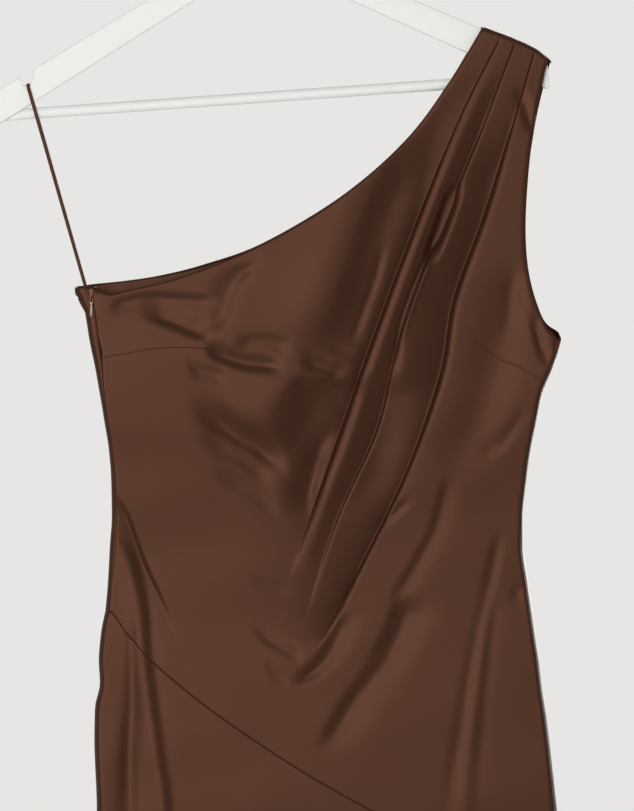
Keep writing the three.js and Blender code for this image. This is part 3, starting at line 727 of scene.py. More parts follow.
FRONT_FOLDS = (
    # The three shoulder pleats: a fine pressed line on the strap, then a gentle fall from the left to each line
    soft(-1.2, 0.5, 0.3, (8, 110), *FIRST_PLEAT[:3]),
    soft(-1.2, 0.5, 0.3, (8, 110), *SECOND_PLEAT[:3]),
    soft(-1.3, 0.5, 0.3, (8, 110), *THIRD_PLEAT[:3]),
    tuck(8.5, 27, 10, (100, 150), FIRST_PLEAT[:6], 1.7),
    tuck(3.5, 12, 10, (90, 170), SECOND_PLEAT[:8], 1.8),
    tuck(6, 22, 10, (110, 30), THIRD_PLEAT[:8], 1.6),
    soft(1.6, 6, 7, (110, 90), *moved(FIRST_PLEAT[:6], 8)),
    # The crest and the wide valley left of the first pleat, with a streak in it
    soft(3, 36, 13, (50, 60),
        (120, -222), (107, -244), (96, -272), (84, -300), (74, -330), (64, -362), (55, -385), (40, -408),
    ),
    soft(-2.4, 22, 16, (40, 30),
        (125, -246), (111, -282), (99, -317), (90, -345), (79, -378), (69, -402), (55, -418),
    ),
    soft(-1, 4, 4, (20, 20), (107, -313), (99, -345), (87, -378), (79, -402)),
    # The creases over the deep valley under the bust, and the valley
    across(-2.4, 4.5, 8, (12, 16), (38, -412), (50, -415), (59, -417), (67, -420), (82, -418)),
    across(-2.2, 8, 4.5, (14, 14), (30, -431), (50.5, -430), (63, -431), (78, -435)),
    across(-0.5, 3, 3, (8, 8), (61, -400.5), (75, -404.5), (85, -407)),
    soft(-6, 20, 42, (26, 46), (66, -418), (56, -440), (47, -460), (38, -482), (30, -508)),
    soft(1.4, 26, 12, (20, 40), (34, -414), (22, -436), (14, -455), (6, -480)),
    # The fold that runs from the zip to a hook, and the hollow in it
    across(-1.5, 9, 4, (14, 16),
        (-118, -368), (-103, -364), (-91, -361), (-75, -360), (-59, -361), (-42.5, -362), (-26, -362),
    ),
    soft(-1.7, 12, 7, (12, 14), (2, -328), (-10, -341), (-16.5, -349), (-23, -364), (-27, -378), (-34, -391)),
    across(-2.4, 4.5, 18, (22, 14), (-93, -371), (-75, -376), (-59, -382), (-47, -387), (-31, -391)),
    # The troughs above and beyond the end of the left dart
    across(-1.6, 8, 6.5, (14, 14), (-16.5, -398), (-2, -396), (14, -396), (24, -398), (34, -400)),
    across(-3.0, 4.5, 8, (12, 20), (-38.5, -401), (-30, -405), (-22, -408), (-10, -412), (2, -414), (28, -416)),
    across(-1.3, 6, 6, (12, 14), (-55, -410), (-46.5, -418), (-34, -422), (-16, -425)),
    # The diagonal bands across the waist
    across(-4.2, 8.5, 14, (30, 26), (-52, -450), (-26, -463), (-10, -473), (6, -483), (31, -501)),
    across(-2.0, 8, 10, (26, 20), (-48, -471), (-14, -487), (2, -498), (22, -510)),
    across(-1.3, 8, 11, (22, 18), (-34, -502), (-2, -515), (24, -534)),
    soft(-3.5, 13, 5, (30, 26), (64, -460), (54, -488), (47, -512), (42, -542)),
    # The slot left of the second pleat with the sliver beside it, and the pleat's lower valley
    soft(-10, 6, 4.5, (24, 26), (167, -262), (157, -292), (148, -316), (140, -338)),
    soft(2.0, 2.6, 3.2, (14, 30), (154, -307), (144, -326), (135, -347), (126, -370), (119, -394), (117, -404)),
    soft(-1.6, 3.5, 3.5, (24, 40), (147, -313), (137, -336), (126, -363), (118, -390), (115, -418), (110, -443)),
    soft(-3.2, 18, 20, (30, 40), (117, -414), (112, -443), (106, -471), (99, -499), (91, -522), (79, -542)),
    # The hollow left of the third pleat, its branch, and the creases about the pleat's end
    soft(-3, 22, 4, (50, 80), *moved(THIRD_PLEAT[1:6], -3)),
    soft(-1.2, 4, 4, (12, 12), (129, -519), (119.5, -530), (111, -538), (103, -548)),
    across(-1.1, 3.5, 6, (16, 10), (-2, -627), (18, -640), (30, -647), (42.5, -652)),
    soft(-2.4, 6, 9, (18, 10), (79, -612), (69, -632), (63, -645), (55, -656), (46, -664), (36, -674)),
    across(-0.7, 4, 5, (10, 10), (8, -655), (18, -664), (31, -674)),
    across(-0.5, 4, 5, (10, 10), (-2, -590), (18, -594), (32, -599)),
    # The fall right of the last lit band, and the bands below it
    soft(-2, 20, 18, (50, 60),
        (224, -309), (214, -337), (206, -362), (200, -394), (196, -414), (188, -443), (181, -463), (174, -480),
        (166, -500), (158, -522),
    ),
    soft(-1.2, 4, 9, (24, 24),
        (160, -498), (153.5, -526), (148, -546), (140, -562), (132, -576), (125, -588), (118, -599), (111, -612),
    ),
    soft(-1.8, 5, 9, (18, 18), (123, -598), (117, -618), (111, -634), (103, -646), (90, -658)),
    soft(-2.6, 7, 14, (24, 30),
        (132, -598), (125, -620), (117, -638), (108, -652), (99, -663), (88, -677), (79, -690), (68, -709),
        (55, -732),
    ),
    # The crease that runs down from the left hip and dies, the long fold beside it and the valleys left of that
    tuck(3, 17, 10, (20, 70), (
        (-110, -517), (-104, -530), (-99, -540), (-93.5, -556), (-85.5, -578), (-72.5, -605), (-56, -645),
    ), 1.8),
    soft(2.0, 10, 4, (34, 20), *moved(HIP_FOLD, -2)),
    soft(-0.9, 4, 9, (34, 200), *HIP_FOLD[:7]),
    soft(-0.9, 3, 5, (20, 60), (-99, -618), (-98, -655), (-98.5, -690), (-101, -720), (-103, -780)),
    soft(-2.0, 9, 6, (110, 20), (-96, -640), (-97, -700), (-99, -760), (-102, -1000), (-105, -1400)),
    # The narrow ridge at the lower right, with a dark line on each side
    soft(0.8, 6, 6, (60, 60),
        (194, -575), (188, -620), (181, -680), (174, -750), (166, -840), (158, -1000), (152, -1400),
    ),
    soft(-1.0, 4.5, 4.5, (24, 80),
        (201, -545), (195, -575), (189, -602), (183, -630), (176, -665), (170, -700), (164, -735), (152, -800),
    ),
    soft(-0.6, 4, 5, (30, 80), (197, -600), (191, -645), (187, -680), (184, -710), (180, -745), (172, -800)),
    # The folds of the skirt
    soft(8, 30, 34, (260, 10), (40, -830), (44, -1050), (50, -1400)),
    soft(7, 26, 28, (220, 10), (232, -880), (244, -1050), (262, -1400)),
    soft(-7, 26, 30, (260, 10), (-18, -830), (-16, -1050), (-12, -1400)),
    soft(-2.2, 12, 16, (120, 20), (98, -860), (104, -1050), (110, -1400)),
    soft(2.4, 14, 12, (140, 20), (-46, -900), (-44, -1080), (-40, -1400)),
    # Small creases beside the armhole, under the arm and at the right side
    soft(-1.4, 4, 5, (8, 10), (214, -188), (219, -200), (224, -216), (226, -228)),
    soft(-0.8, 7, 8, (26, 26), (212, -330), (210, -352), (208, -376), (205, -398)),
    soft(0.7, 6, 7, (22, 22), (222, -336), (221, -356), (219, -380)),
    soft(-1.5, 3, 4, (12, 12), (231, -368), (229.6, -384), (232, -396), (236, -407), (240, -417)),
    across(-0.8, 7, 9, (16, 20), (178, -488), (200, -478), (214, -462), (228, -444)),
    soft(-0.8, 4, 4, (6, 6), (218, -590), (214, -599), (211, -608)),
)

BACK_FOLDS = (
    soft(3, 16, 20, (20, 120), (196, -150), (176, -230), (150, -330), (120, -430)),
    soft(4, 24, 30, (120, 150), (150, -330), (110, -460), (70, -600)),
    soft(5, 26, 30, (120, 10), (-70, -560), (-78, -800), (-84, -1400)),
    soft(-5, 22, 26, (160, 10), (0, -620), (-6, -900), (-10, -1400)),
    soft(7, 30, 34, (180, 10), (80, -640), (86, -900), (92, -1400)),
    soft(7, 28, 30, (160, 10), (190, -700), (206, -950), (224, -1400)),
    across(-2.4, 8, 11, (30, 40), (-100, -398), (-60, -408), (-10, -428), (40, -440)),
    across(-2.0, 7, 9, (30, 40), (-90, -470), (-50, -486), (0, -496), (60, -490)),
    across(1.8, 8, 10, (40, 50), (40, -520), (100, -536), (150, -532), (200, -516)),
    across(-2.2, 6, 9, (30, 40), (60, -548), (110, -560), (160, -556), (206, -540)),
    soft(-2.0, 7, 10, (40, 60), (206, -230), (190, -300), (168, -380), (140, -450)),
    soft(-2.2, 9, 12, (60, 60), (-40, -372), (-50, -430), (-66, -500), (-84, -560)),
    soft(-2.4, 12, 16, (120, 20), (140, -800), (150, -1000), (160, -1400)),
    soft(2.2, 12, 14, (140, 20), (-32, -840), (-38, -1050), (-44, -1400)),
    soft(-2.6, 12, 14, (120, 20), (-108, -760), (-112, -1000), (-116, -1400)),
)


@dataclass(frozen=True)
class Ripple:
    """A slight wave of the cloth: its height, its length, its direction in degrees and its start."""

    height: float
    length: float
    direction: float
    start: float

    def shape(self, x: Array, z: Array) -> Array:
        """The height times the sine of the way along the direction over the length."""
        turn = math.radians(self.direction)
        along = x * math.cos(turn) + z * math.sin(turn)
        return self.height * np.sin(2 * np.pi * along / self.length + self.start)


@dataclass
class Cloth:
    """The form on which all panels lie: two silhouettes, two depths, a crest and the folds, in millimetres."""

    side_rounds: tuple = ((-1400, 26.0), (-1100, 19.0), (-880, 9.0), (-760, 4.0), (-600, 3.5), (-100, 3.5))
    crest_round: float = 4.0
    least_depth: float = 7.3
    crease_softness: float = 1.2
    sections: tuple = (
        (-100, -144, 281.5, 7.5, 7.5, 15, 4), (-160, -144, 281.5, 8.2, 7.5, 15, 4),
        (-200, -144, 281.5, 10.4, 7.5, 15, 4),
        (-240, -144, 281.5, 13, 8, 15, 4), (-280, -144, 273.5, 15.4, 8.5, 15, 4),
        (-325, -144, 261, 17.8, 9, 15, 4), (-354.5, -144, 254.5, 19.3, 10, 14.5, 4),
        (-362.5, -140.5, 253.5, 19.7, 10.5, 11.5, 4), (-373, -135.5, 252, 20.2, 11, 8.5, 4),
        (-392.5, -132.5, 250.5, 21.1, 12, 8, 4), (-414, -128, 244, 22, 12.5, 6.5, 3.5),
        (-436, -124, 235, 22.4, 12, 4, 3), (-460, -120, 230, 22, 11, 3, 2.5),
        (-482, -116.5, 225.5, 21, 10, 3, 2.5), (-507, -114.5, 222, 20, 10, 3.5, 2.5),
        (-538, -114, 219, 19.2, 10, 4, 2.5), (-560, -115.5, 219, 19, 11, 4.5, 2),
        (-588, -117, 222.5, 19.4, 12, 3, 2), (-612, -119, 226, 20.4, 14, 1.5, 2),
        (-630, -122.5, 228.5, 21.4, 15, 3, 2), (-654, -124.5, 232, 22.8, 16, 2.5, 2),
        (-672, -123.5, 234, 23.9, 17, 1.5, 2), (-692, -127.5, 237, 25.1, 18, 2, 2),
        (-716, -128, 240, 26.5, 19, 2, 2), (-775, -126, 246.5, 29.6, 21, 2, 2),
        (-850, -127.5, 255, 31, 24, 2, 2), (-1010, -133, 274, 34, 28, 2, 2),
        (-1170, -138, 293.5, 37, 32, 2, 2), (-1400, -143, 321, 41, 36, 2, 2),
    )
    crest_points: Points = ((-400, 111), (186.5, -139), (207, -146.6), (230, -157), (243.5, -167.5), (290, -200))
    folds: dict = field(default_factory=lambda: {Face.FRONT: FRONT_FOLDS, Face.BACK: BACK_FOLDS})
    ripples: tuple[Ripple, ...] = (Ripple(0.18, 87.0, 118.0, 0.4), Ripple(0.12, 64.0, 96.0, 2.1))

    def __post_init__(self) -> None:
        """Turns the tables into smooth readings."""
        columns = list(zip(*self.sections))
        readings = [Knots(columns[0], column) for column in columns[1:]]
        self.left, self.right, front, back, self.wrap_left, self.wrap_right = readings
        self.depths = {Face.FRONT: front, Face.BACK: back}
        self.crest = Knots(*zip(*self.crest_points))
        self.side_round = Knots(*zip(*self.side_rounds))

    def left_seam(self, z: Array) -> Array:
        """The left side seam, where the back panel's wrap ends."""
        return self.left(z) + self.wrap_left(z)

    def right_seam(self, z: Array) -> Array:
        """The right side seam."""
        return self.right(z) - self.wrap_right(z)

    def wrapped_left(self, z: Array) -> Array:
        """The left side seam on the unrolled back panel."""
        return self.left(z) - self.wrap_left(z)

    def wrapped_right(self, z: Array) -> Array:
        """The right side seam on the unrolled back panel."""
        return self.right(z) + self.wrap_right(z)

    def turned(self, face: Face, x: Array, z: Array) -> tuple[Array, Array, Array]:
        """Brings flat places into the dress: past a silhouette or the crest they turn to the other face.

        Args:
            face: The panel's own face.
            x: Places across the flat panel.
            z: Heights on the flat panel.

        Returns:
            The places' x and z on the dress, and whether they lie on its front.
        """
        left, right = self.left(z), self.right(z)
        past_left, past_right = x < left, x > right
        x = np.where(past_left, 2 * left - x, np.where(past_right, 2 * right - x, x))
        crest = self.crest(x)
        past_crest = z > crest
        on_front = np.full(x.shape, face is Face.FRONT) ^ (past_left | past_right) ^ past_crest
        return x, np.where(past_crest, 2 * crest - z, z), on_front

    def folded(self, face: Face, x: Array, z: Array) -> Array:
        """The depth of a face with its folds.

        The sum of all folds is added to the plain depth, and held softly above the least depth.

        Args:
            face: The face that is read.
            x: Places across the dress.
            z: Heights of the places.

        Returns:
            The depth, in millimetres.
        """
        height = sum(fold.shape(x, z) for fold in self.folds[face])
        height = height + sum(ripple.shape(x, z) for ripple in self.ripples)
        over = self.depths[face](z) + height - self.least_depth
        return self.least_depth + (over + np.sqrt(over**2 + self.crease_softness**2)) / 2

    def points(self, face: Face, x: Array, z: Array) -> Array:
        """The places of a panel in space.

        The depth is multiplied by a quarter ellipse at each silhouette and one at the crest.

        Args:
            face: The panel's own face.
            x: Places across the flat panel.
            z: Heights on the flat panel.

        Returns:
            The points, in millimetres.
        """
        x, z, on_front = self.turned(face, x, z)
        side = self.side_round(z)
        near = rounding(x - self.left(z), side) * rounding(self.right(z) - x, side)
        near = near * rounding(self.crest(x) - z, self.crest_round)
        y = np.where(on_front, -self.folded(Face.FRONT, x, z), self.folded(Face.BACK, x, z)) * near
        return np.stack([x, y, z], axis=-1)


# Guides that run down a panel, from 0 at its top to 1 at its bottom

STRAP_SHARE = 0.22
STRAP_END = 0.3
CORNER_LEAD = 0.035
CORNER_REST = 0.01
CORNER_FADE = 0.1


def line_guide(points: Points) -> Guide:
    """A guide on a smooth line through points, even along its length."""
    samples = smooth_line(points)
    return lambda v: along_line(samples, v)


def seam_guide(seam: Shift, top: float, end: float, inward: Shift) -> Guide:
    """A guide down a seam, moved inward by an amount that may change with the height."""
    def at(v: Array) -> Array:
        """The seam's x at an even step of height."""
        z = top + (end - top) * v
        return np.stack([seam(z) + inward(z), z], axis=-1)
    return at


def edge_guide(cut_edge: Points, seam: Guide, corner: float) -> Guide:
    """A cut edge down to a corner of the panel, then a side seam."""
    cut = line_guide(cut_edge)
    return lambda v: np.where(
        (v < corner)[:, None], cut(v / corner), seam(np.maximum(0.0, (v - corner) / (1 - corner)))
    )


def beside(other: Guide, shift: Shift, strap: bool) -> Guide:
    """A guide beside another, nearer to it on the narrow strap."""
    def at(v: Array) -> Array:
        """The other guide's place, moved along x."""
        place = other(v)
        share = STRAP_SHARE + (1 - STRAP_SHARE) * smooth_step(v / STRAP_END) if strap else 1.0
        return np.stack([place[:, 0] + shift(place[:, 1]) * share, place[:, 1]], axis=-1)
    return at


def between(first: Guide, last: Guide, share: float) -> Guide:
    """A guide at one share of the way between two others."""
    return lambda v: first(v) * (1 - share) + last(v) * share


def lowered(other: Guide, drop: float, corner: float) -> Guide:
    """A guide lowered near a corner's row, so that it stays inside an edge that rises to that corner.

    Args:
        other: The guide to lower.
        drop: How far, in millimetres.
        corner: The corner's row; the drop comes in shortly above it and fades out below it.

    Returns:
        The lowered guide.
    """
    def at(v: Array) -> Array:
        """The other guide's place, moved down."""
        place = other(v)
        past = v - corner
        share = smooth_step((past + CORNER_LEAD) / CORNER_LEAD)
        share = share * (1 - smooth_step((past - CORNER_REST) / CORNER_FADE))
        return np.stack([place[:, 0], place[:, 1] - drop * share], axis=-1)
    return at


def fan(first: Guide, last: Guide, count: int, bend: float = 1.0) -> list[Guide]:
    """Guides between two others, without those two. A bend above 1 brings them closer to the first."""
    return [between(first, last, ((index + 1) / (count + 1)) ** bend) for index in range(count)]


def constant(value: float) -> Shift:
    """The same shift at every height."""
    return lambda z: np.full(np.shape(z), float(value))


def rows_between(marks: Sequence[float], counts: Sequence[int]) -> Array:
    """Even rows between marks, each mark kept."""
    parts = [np.linspace(low, high, count, endpoint=False) for low, high, count in zip(marks, marks[1:], counts)]
    return np.concatenate([*parts, [marks[-1]]])


class Edge(Enum):
    """How an edge of a panel is finished: how far it sinks and over what width, in millimetres."""

    SEAM = (0.25, 0.8)
    TURNED = (1.0, 1.6)
    HEM = (0.7, 2.2)


@dataclass
class Panel:
    """One cut piece of cloth."""

    name: str
    face: Face
    guides: list[Guide]
    rows: Array
    top: Shift
    bottom: Shift
    edges: dict[str, tuple[Edge, Edge]]
    corner_shares: tuple[float, float] = (0.0, 0.0)
    cloth_thickness: float = 1.0
    grid: Array = field(init=False)
    flat: Array = field(init=False)

    def lay(self, cloth: Cloth) -> None:
        """Places the panel on the cloth's form, its first and last rows on the panel's end lines."""
        place = np.stack([guide(self.rows) for guide in self.guides], axis=1)
        x, z = place[..., 0], place[..., 1]
        bottom_x = cloth.turned(self.face, x[-1], z[-1])[0]
        pull_top = self.top(x[0]) - z[0]
        pull_bottom = self.bottom(bottom_x) - z[-1]
        v = self.rows[:, None]
        z = z + pull_top * (1 - smooth_step(v * 6)) + pull_bottom * v**4
        self.flat = np.stack([x, z], axis=-1)
        self.grid = self.sink_edges(cloth.points(self.face, x, z))

    def outward(self, grid: Array) -> Array:
        """The way out of the cloth: the step down the panel crossed with the step across it."""
        down, over = np.gradient(grid, axis=0), np.gradient(grid, axis=1)
        out = np.cross(down, over)
        out /= np.maximum(1e-9, np.linalg.norm(out, axis=-1, keepdims=True))
        return out if self.face is Face.FRONT else -out

    def sink_edges(self, grid: Array) -> Array:
        """Turns the edges in: each sinks by a bell of the distance to it.

        Args:
            grid: The panel's points.

        Returns:
            The points with sunk edges.
        """
        over = np.linalg.norm(np.diff(grid, axis=1), axis=-1)
        down = np.linalg.norm(np.diff(grid, axis=0), axis=-1)
        from_left = np.pad(np.cumsum(over, axis=1), ((0, 0), (1, 0)))
        from_top = np.pad(np.cumsum(down, axis=0), ((1, 0), (0, 0)))
        far = {
            "left": from_left,
            "right": from_left[:, -1:] - from_left,
            "top": from_top,
            "bottom": from_top[-1:] - from_top,
        }
        corner = dict(zip(("left", "right"), self.corner_shares))
        sunk = np.zeros(grid.shape[:2])
        for side, (above, below) in self.edges.items():
            split = smooth_step((self.rows[:, None] - corner.get(side, 0.0)) / 0.02)
            for edge, share in ((above, 1 - split), (below, split)):
                depth, width = edge.value
                sunk = sunk + depth * share * bell(far[side], width)
        return grid - self.outward(grid) * sunk[..., None]

    def build(self, material: bpy.types.Material) -> bpy.types.Object:
        """Makes the panel's mesh and gives it its thickness.

        Args:
            material: The cloth's finish.

        Returns:
            The panel's object.
        """
        made = surface(self.name, self.grid, flip=self.face is Face.BACK, flat=self.flat)
        made.data.materials.append(material)
        thicken(made, self.cloth_thickness)
        return made

    def area(self) -> float:
        """The panel's area on one side, in square metres, from the halves of its quads."""
        a, b, c, d = self.grid[:-1, :-1], self.grid[1:, :-1], self.grid[1:, 1:], self.grid[:-1, 1:]
        halves = np.linalg.norm(np.cross(b - a, c - a), axis=-1) + np.linalg.norm(np.cross(c - a, d - a), axis=-1)
        return float(halves.sum() / 2 * MM * MM)


@dataclass
class Dress:
    """The four panels, their seams and the darts, in millimetres."""

    cloth: Cloth
    seam_gap: float = 0.1
    hem_z: float = -1390.0
    left_seam_top: float = -350.5
    right_seam_top: float = -392.5
    hip_left_z: float = -613.5
    hip_right_z: float = -838.5
    front_crest_drop: float = 0.9
    back_crest_rise: float = 1.2
    tip_share: float = 0.34
    corner_share: float = 0.59
    corner_drop: float = 1.5
    hip_seam: Points = (
        (-124, -613.5), (-116, -613.5), (-101, -632), (-84, -651), (-41.5, -687), (6, -720.5),
        (52, -749.5), (99, -775.5), (160, -804.5), (246, -838.5), (262, -838.5),
    )
    neckline_front: Points = (
        (186.5, -140.5), (160, -184), (124.5, -231.5), (73.5, -276.5), (8.5, -316), (-57, -343),
        (-107.5, -355.5), (-117, -356.5), (-129, -350.5),
    )
    neckline_inside: Points = (
        (186.5, -140.5), (160, -184), (124.5, -231.5), (73.5, -276.5), (8.5, -316), (-57, -343),
        (-98, -354), (-115, -358.8), (-129.5, -364),
    )
    neckline_back: Points = (
        (186.5, -138), (160, -183.5), (124.5, -231), (73.5, -276), (8.5, -315), (-39.5, -332.5),
        (-75, -341.5), (-104, -346), (-133, -349), (-144, -351.5), (-159, -350.5),
    )
    neckline_back_inside: Points = (
        (186.5, -138), (160, -183.5), (124.5, -231), (73.5, -276), (8.5, -315), (-39.5, -332.5),
        (-75, -341.5), (-104, -346.5), (-131.5, -350.5), (-147, -353), (-159.5, -358),
    )
    armhole_front: Points = (
        (241, -168), (237.5, -176), (234, -192.5), (229, -216.5), (223.5, -258), (221, -306.5),
        (224.5, -344.5), (235.5, -378.5), (246.5, -392.5),
    )
    armhole_back: Points = (
        (243, -166), (239, -178), (230, -216), (222.5, -270), (222, -320), (226, -350), (236.5, -377),
        (247, -386.5), (250.5, -391.5), (254.5, -392.5),
    )
    edge_steps: tuple[float, ...] = (0.6, 1.5, 3.0, 5.2, 8.2, 12.0)
    wrap_parts: tuple[tuple[float, float], ...] = (
        (0.08, 0), (0.25, 0), (0.45, 0), (0.65, 0), (0.85, 0), (1, 0), (1, 1), (1, 3), (1, 6), (1, 10), (1, 15),
    )
    pleat_steps: tuple[float, ...] = (-5.0, -2.8, -1.5, -0.8, -0.45, -0.2, 0.0, 0.2, 0.45, 0.8, 1.5, 2.8, 5.0)
    left_dart: Points = ((-121, -408.2), (-106, -405.6), (-75, -400.6), (-37, -401.3), (-10, -411.8), (4, -416))
    right_dart: Points = ((234, -427), (213, -414.5), (200.5, -410), (185, -399), (168, -385.5))
    dart_radius: float = 0.42
    dart_stand: float = 0.32
    dart_rings: int = 90

    def __post_init__(self) -> None:
        """Turns the hip seam into a smooth reading."""
        self.hip = Knots(*zip(*self.hip_seam))
        self.half_gap = self.seam_gap / 2
        self.hip_gap = self.seam_gap * 0.9

    def front_left_gap(self, z: Array) -> Array:
        """How far the front stands off the left seam: open above the slider, and a little below it."""
        open_top = 2.2 * (1 - smooth_step((self.left_seam_top - z) / 8.5))
        return self.half_gap + open_top + 1.0 * bell(z + 402.5, 7.0)

    def back_left_gap(self, z: Array) -> Array:
        """How far the back stands off the left seam on its unrolled side."""
        return self.half_gap + 1.6 * (1 - smooth_step((self.left_seam_top - z) / 8.5))

    def bodice_rows(self) -> Array:
        """The rows of both bodices, closer at the crest and the hip seam."""
        marks = [0, 0.004, 0.012, self.tip_share, self.corner_share, 0.985, 0.996, 1]
        return rows_between(marks, [2, 3, 64, 66, 84, 5, 4])

    def skirt_rows(self) -> Array:
        """The rows of both skirts, closer at the hip seam and the hem."""
        return rows_between([0, 0.004, 0.012, 0.45, 0.955, 0.99, 1], [3, 3, 78, 66, 8, 7])

    def over_hip(self, x: Array) -> Array:
        """The lower end of a bodice."""
        return self.hip(x) + self.hip_gap

    def under_hip(self, x: Array) -> Array:
        """The upper end of a skirt."""
        return self.hip(x) - self.hip_gap

    def front_top(self, x: Array) -> Array:
        """The upper end of the front bodice, just short of the crest."""
        return self.cloth.crest(x) - self.front_crest_drop

    def back_top(self, x: Array) -> Array:
        """The upper end of the back bodice, just past the crest."""
        return self.cloth.crest(x) + self.back_crest_rise

    def bodice(self, name: str, face: Face, guides: list[Guide], top: Shift) -> Panel:
        """A bodice: its edges are turned in down to their corners, and sewn below them and at both ends.

        Args:
            name: The panel's name.
            face: The side of the dress on which it lies.
            guides: Its columns.
            top: Its upper end.

        Returns:
            The panel.
        """
        side, seam = (Edge.TURNED, Edge.SEAM), (Edge.SEAM, Edge.SEAM)
        edges = {"left": side, "right": side, "top": seam, "bottom": seam}
        shares = (self.corner_share, self.tip_share)
        return Panel(name, face, guides, self.bodice_rows(), top, self.over_hip, edges, shares)

    def inside(self, edge: Guide, way: int, strap: bool) -> list[Guide]:
        """Guides beside an edge, at growing distances from it."""
        return [beside(edge, constant(way * step), strap) for step in self.edge_steps]

    def front_bodice(self) -> Panel:
        """The front bodice, with a set of close columns at each pleat."""
        cloth = self.cloth
        left_seam = seam_guide(cloth.left_seam, self.left_seam_top, self.hip_left_z, self.front_left_gap)
        right_seam = seam_guide(
            cloth.right_seam, self.right_seam_top, self.hip_right_z, constant(-self.half_gap)
        )
        left = edge_guide(self.neckline_front, left_seam, self.corner_share)
        right = edge_guide(self.armhole_front, right_seam, self.tip_share)
        inner_seam = seam_guide(cloth.left_seam, self.neckline_inside[-1][1], self.hip_left_z, self.front_left_gap)
        plain = self.inside(edge_guide(self.neckline_inside, inner_seam, self.corner_share), 1, True)
        left_inner = [
            between(
                lowered(hooked, self.corner_drop * step, self.corner_share), straight, step / self.edge_steps[-1]
            )
            for hooked, straight, step in zip(self.inside(left, 1, True), plain, self.edge_steps)
        ]
        right_inner = self.inside(right, -1, True)[::-1]
        lines = [line_guide(line) for line in (FIRST_PLEAT, SECOND_PLEAT, THIRD_PLEAT)]
        border = line_guide(LAST_BORDER)
        first, second, third = (
            [beside(line, constant(step), False) for step in self.pleat_steps] for line in lines
        )
        guides = [
            left,
            *left_inner,
            *fan(left_inner[-1], first[0], 70, 1.1),
            *first,
            *fan(first[-1], second[0], 9),
            *second,
            *fan(second[-1], third[0], 11),
            *third,
            *fan(third[-1], border, 12),
            border,
            *fan(border, right_inner[0], 36),
            *right_inner,
            right,
        ]
        return self.bodice("bodice_front", Face.FRONT, guides, self.front_top)

    def back_guides(self, left: Guide, plain: Guide, right: Guide, strap: bool, count: int) -> list[Guide]:
        """The columns of a back panel: the wrap to the front, the rounded sides and even ones between.

        Args:
            left: The panel's left edge.
            plain: The same edge with a lower corner; the columns reach it over the left side.
            right: The panel's right edge.
            strap: Whether the panel narrows to a strap.
            count: How many even columns there are.

        Returns:
            The columns from the left to the right.
        """
        cloth = self.cloth
        def left_part(index: int, part: float, extra: float) -> Guide:
            """A column at a part of the left wrap and so much further in."""
            edge = between(left, plain, (index + 1) / len(self.wrap_parts))
            return beside(edge, lambda z: part * cloth.wrap_left(z) + extra, strap)
        def right_part(part: float, extra: float) -> Guide:
            """A column at a part of the right wrap and so much further in."""
            return beside(right, lambda z: -part * cloth.wrap_right(z) - extra, strap)
        left_inner = [left_part(index, part, extra) for index, (part, extra) in enumerate(self.wrap_parts)]
        right_inner = [right_part(part, extra) for part, extra in self.wrap_parts[::-1]]
        return [left, *left_inner, *fan(left_inner[-1], right_inner[0], count), *right_inner, right]

    def back_bodice(self) -> Panel:
        """The back bodice, which comes round to the front at both sides."""
        cloth = self.cloth
        left_seam = seam_guide(cloth.wrapped_left, self.left_seam_top, self.hip_left_z, self.back_left_gap)
        right_seam = seam_guide(
            cloth.wrapped_right, self.right_seam_top, self.hip_right_z, constant(-self.half_gap)
        )
        left = edge_guide(self.neckline_back, left_seam, self.corner_share)
        right = edge_guide(self.armhole_back, right_seam, self.tip_share)
        plain_seam = seam_guide(
            cloth.wrapped_left, self.neckline_back_inside[-1][1], self.hip_left_z, self.back_left_gap
        )
        plain = edge_guide(self.neckline_back_inside, plain_seam, self.corner_share)
        guides = self.back_guides(left, plain, right, True, 96)
        return self.bodice("bodice_back", Face.BACK, guides, self.back_top)

    def hem(self, x: Array) -> Array:
        """The hem's height, the same everywhere."""
        return np.full(np.shape(x), self.hem_z)

    def skirt_edges(self) -> dict[str, tuple[Edge, Edge]]:
        """Seams on three sides of a skirt and the hem below."""
        seam = (Edge.SEAM, Edge.SEAM)
        return {"left": seam, "right": seam, "top": seam, "bottom": (Edge.HEM, Edge.HEM)}

    def front_skirt(self) -> Panel:
        """The front skirt, below the diagonal hip seam."""
        cloth = self.cloth
        left = seam_guide(cloth.left_seam, self.hip_left_z, self.hem_z, constant(self.half_gap))
        right = seam_guide(cloth.right_seam, self.hip_right_z, self.hem_z, constant(-self.half_gap))
        left_inner = self.inside(left, 1, False)
        right_inner = self.inside(right, -1, False)[::-1]
        guides = [left, *left_inner, *fan(left_inner[-1], right_inner[0], 116, 1.1), *right_inner, right]
        return Panel(
            "skirt_front", Face.FRONT, guides, self.skirt_rows(), self.under_hip, self.hem, self.skirt_edges()
        )

    def back_skirt(self) -> Panel:
        """The back skirt."""
        cloth = self.cloth
        left = seam_guide(cloth.wrapped_left, self.hip_left_z, self.hem_z, constant(self.half_gap))
        right = seam_guide(cloth.wrapped_right, self.hip_right_z, self.hem_z, constant(-self.half_gap))
        guides = self.back_guides(left, left, right, False, 92)
        return Panel(
            "skirt_back", Face.BACK, guides, self.skirt_rows(), self.under_hip, self.hem, self.skirt_edges()
        )

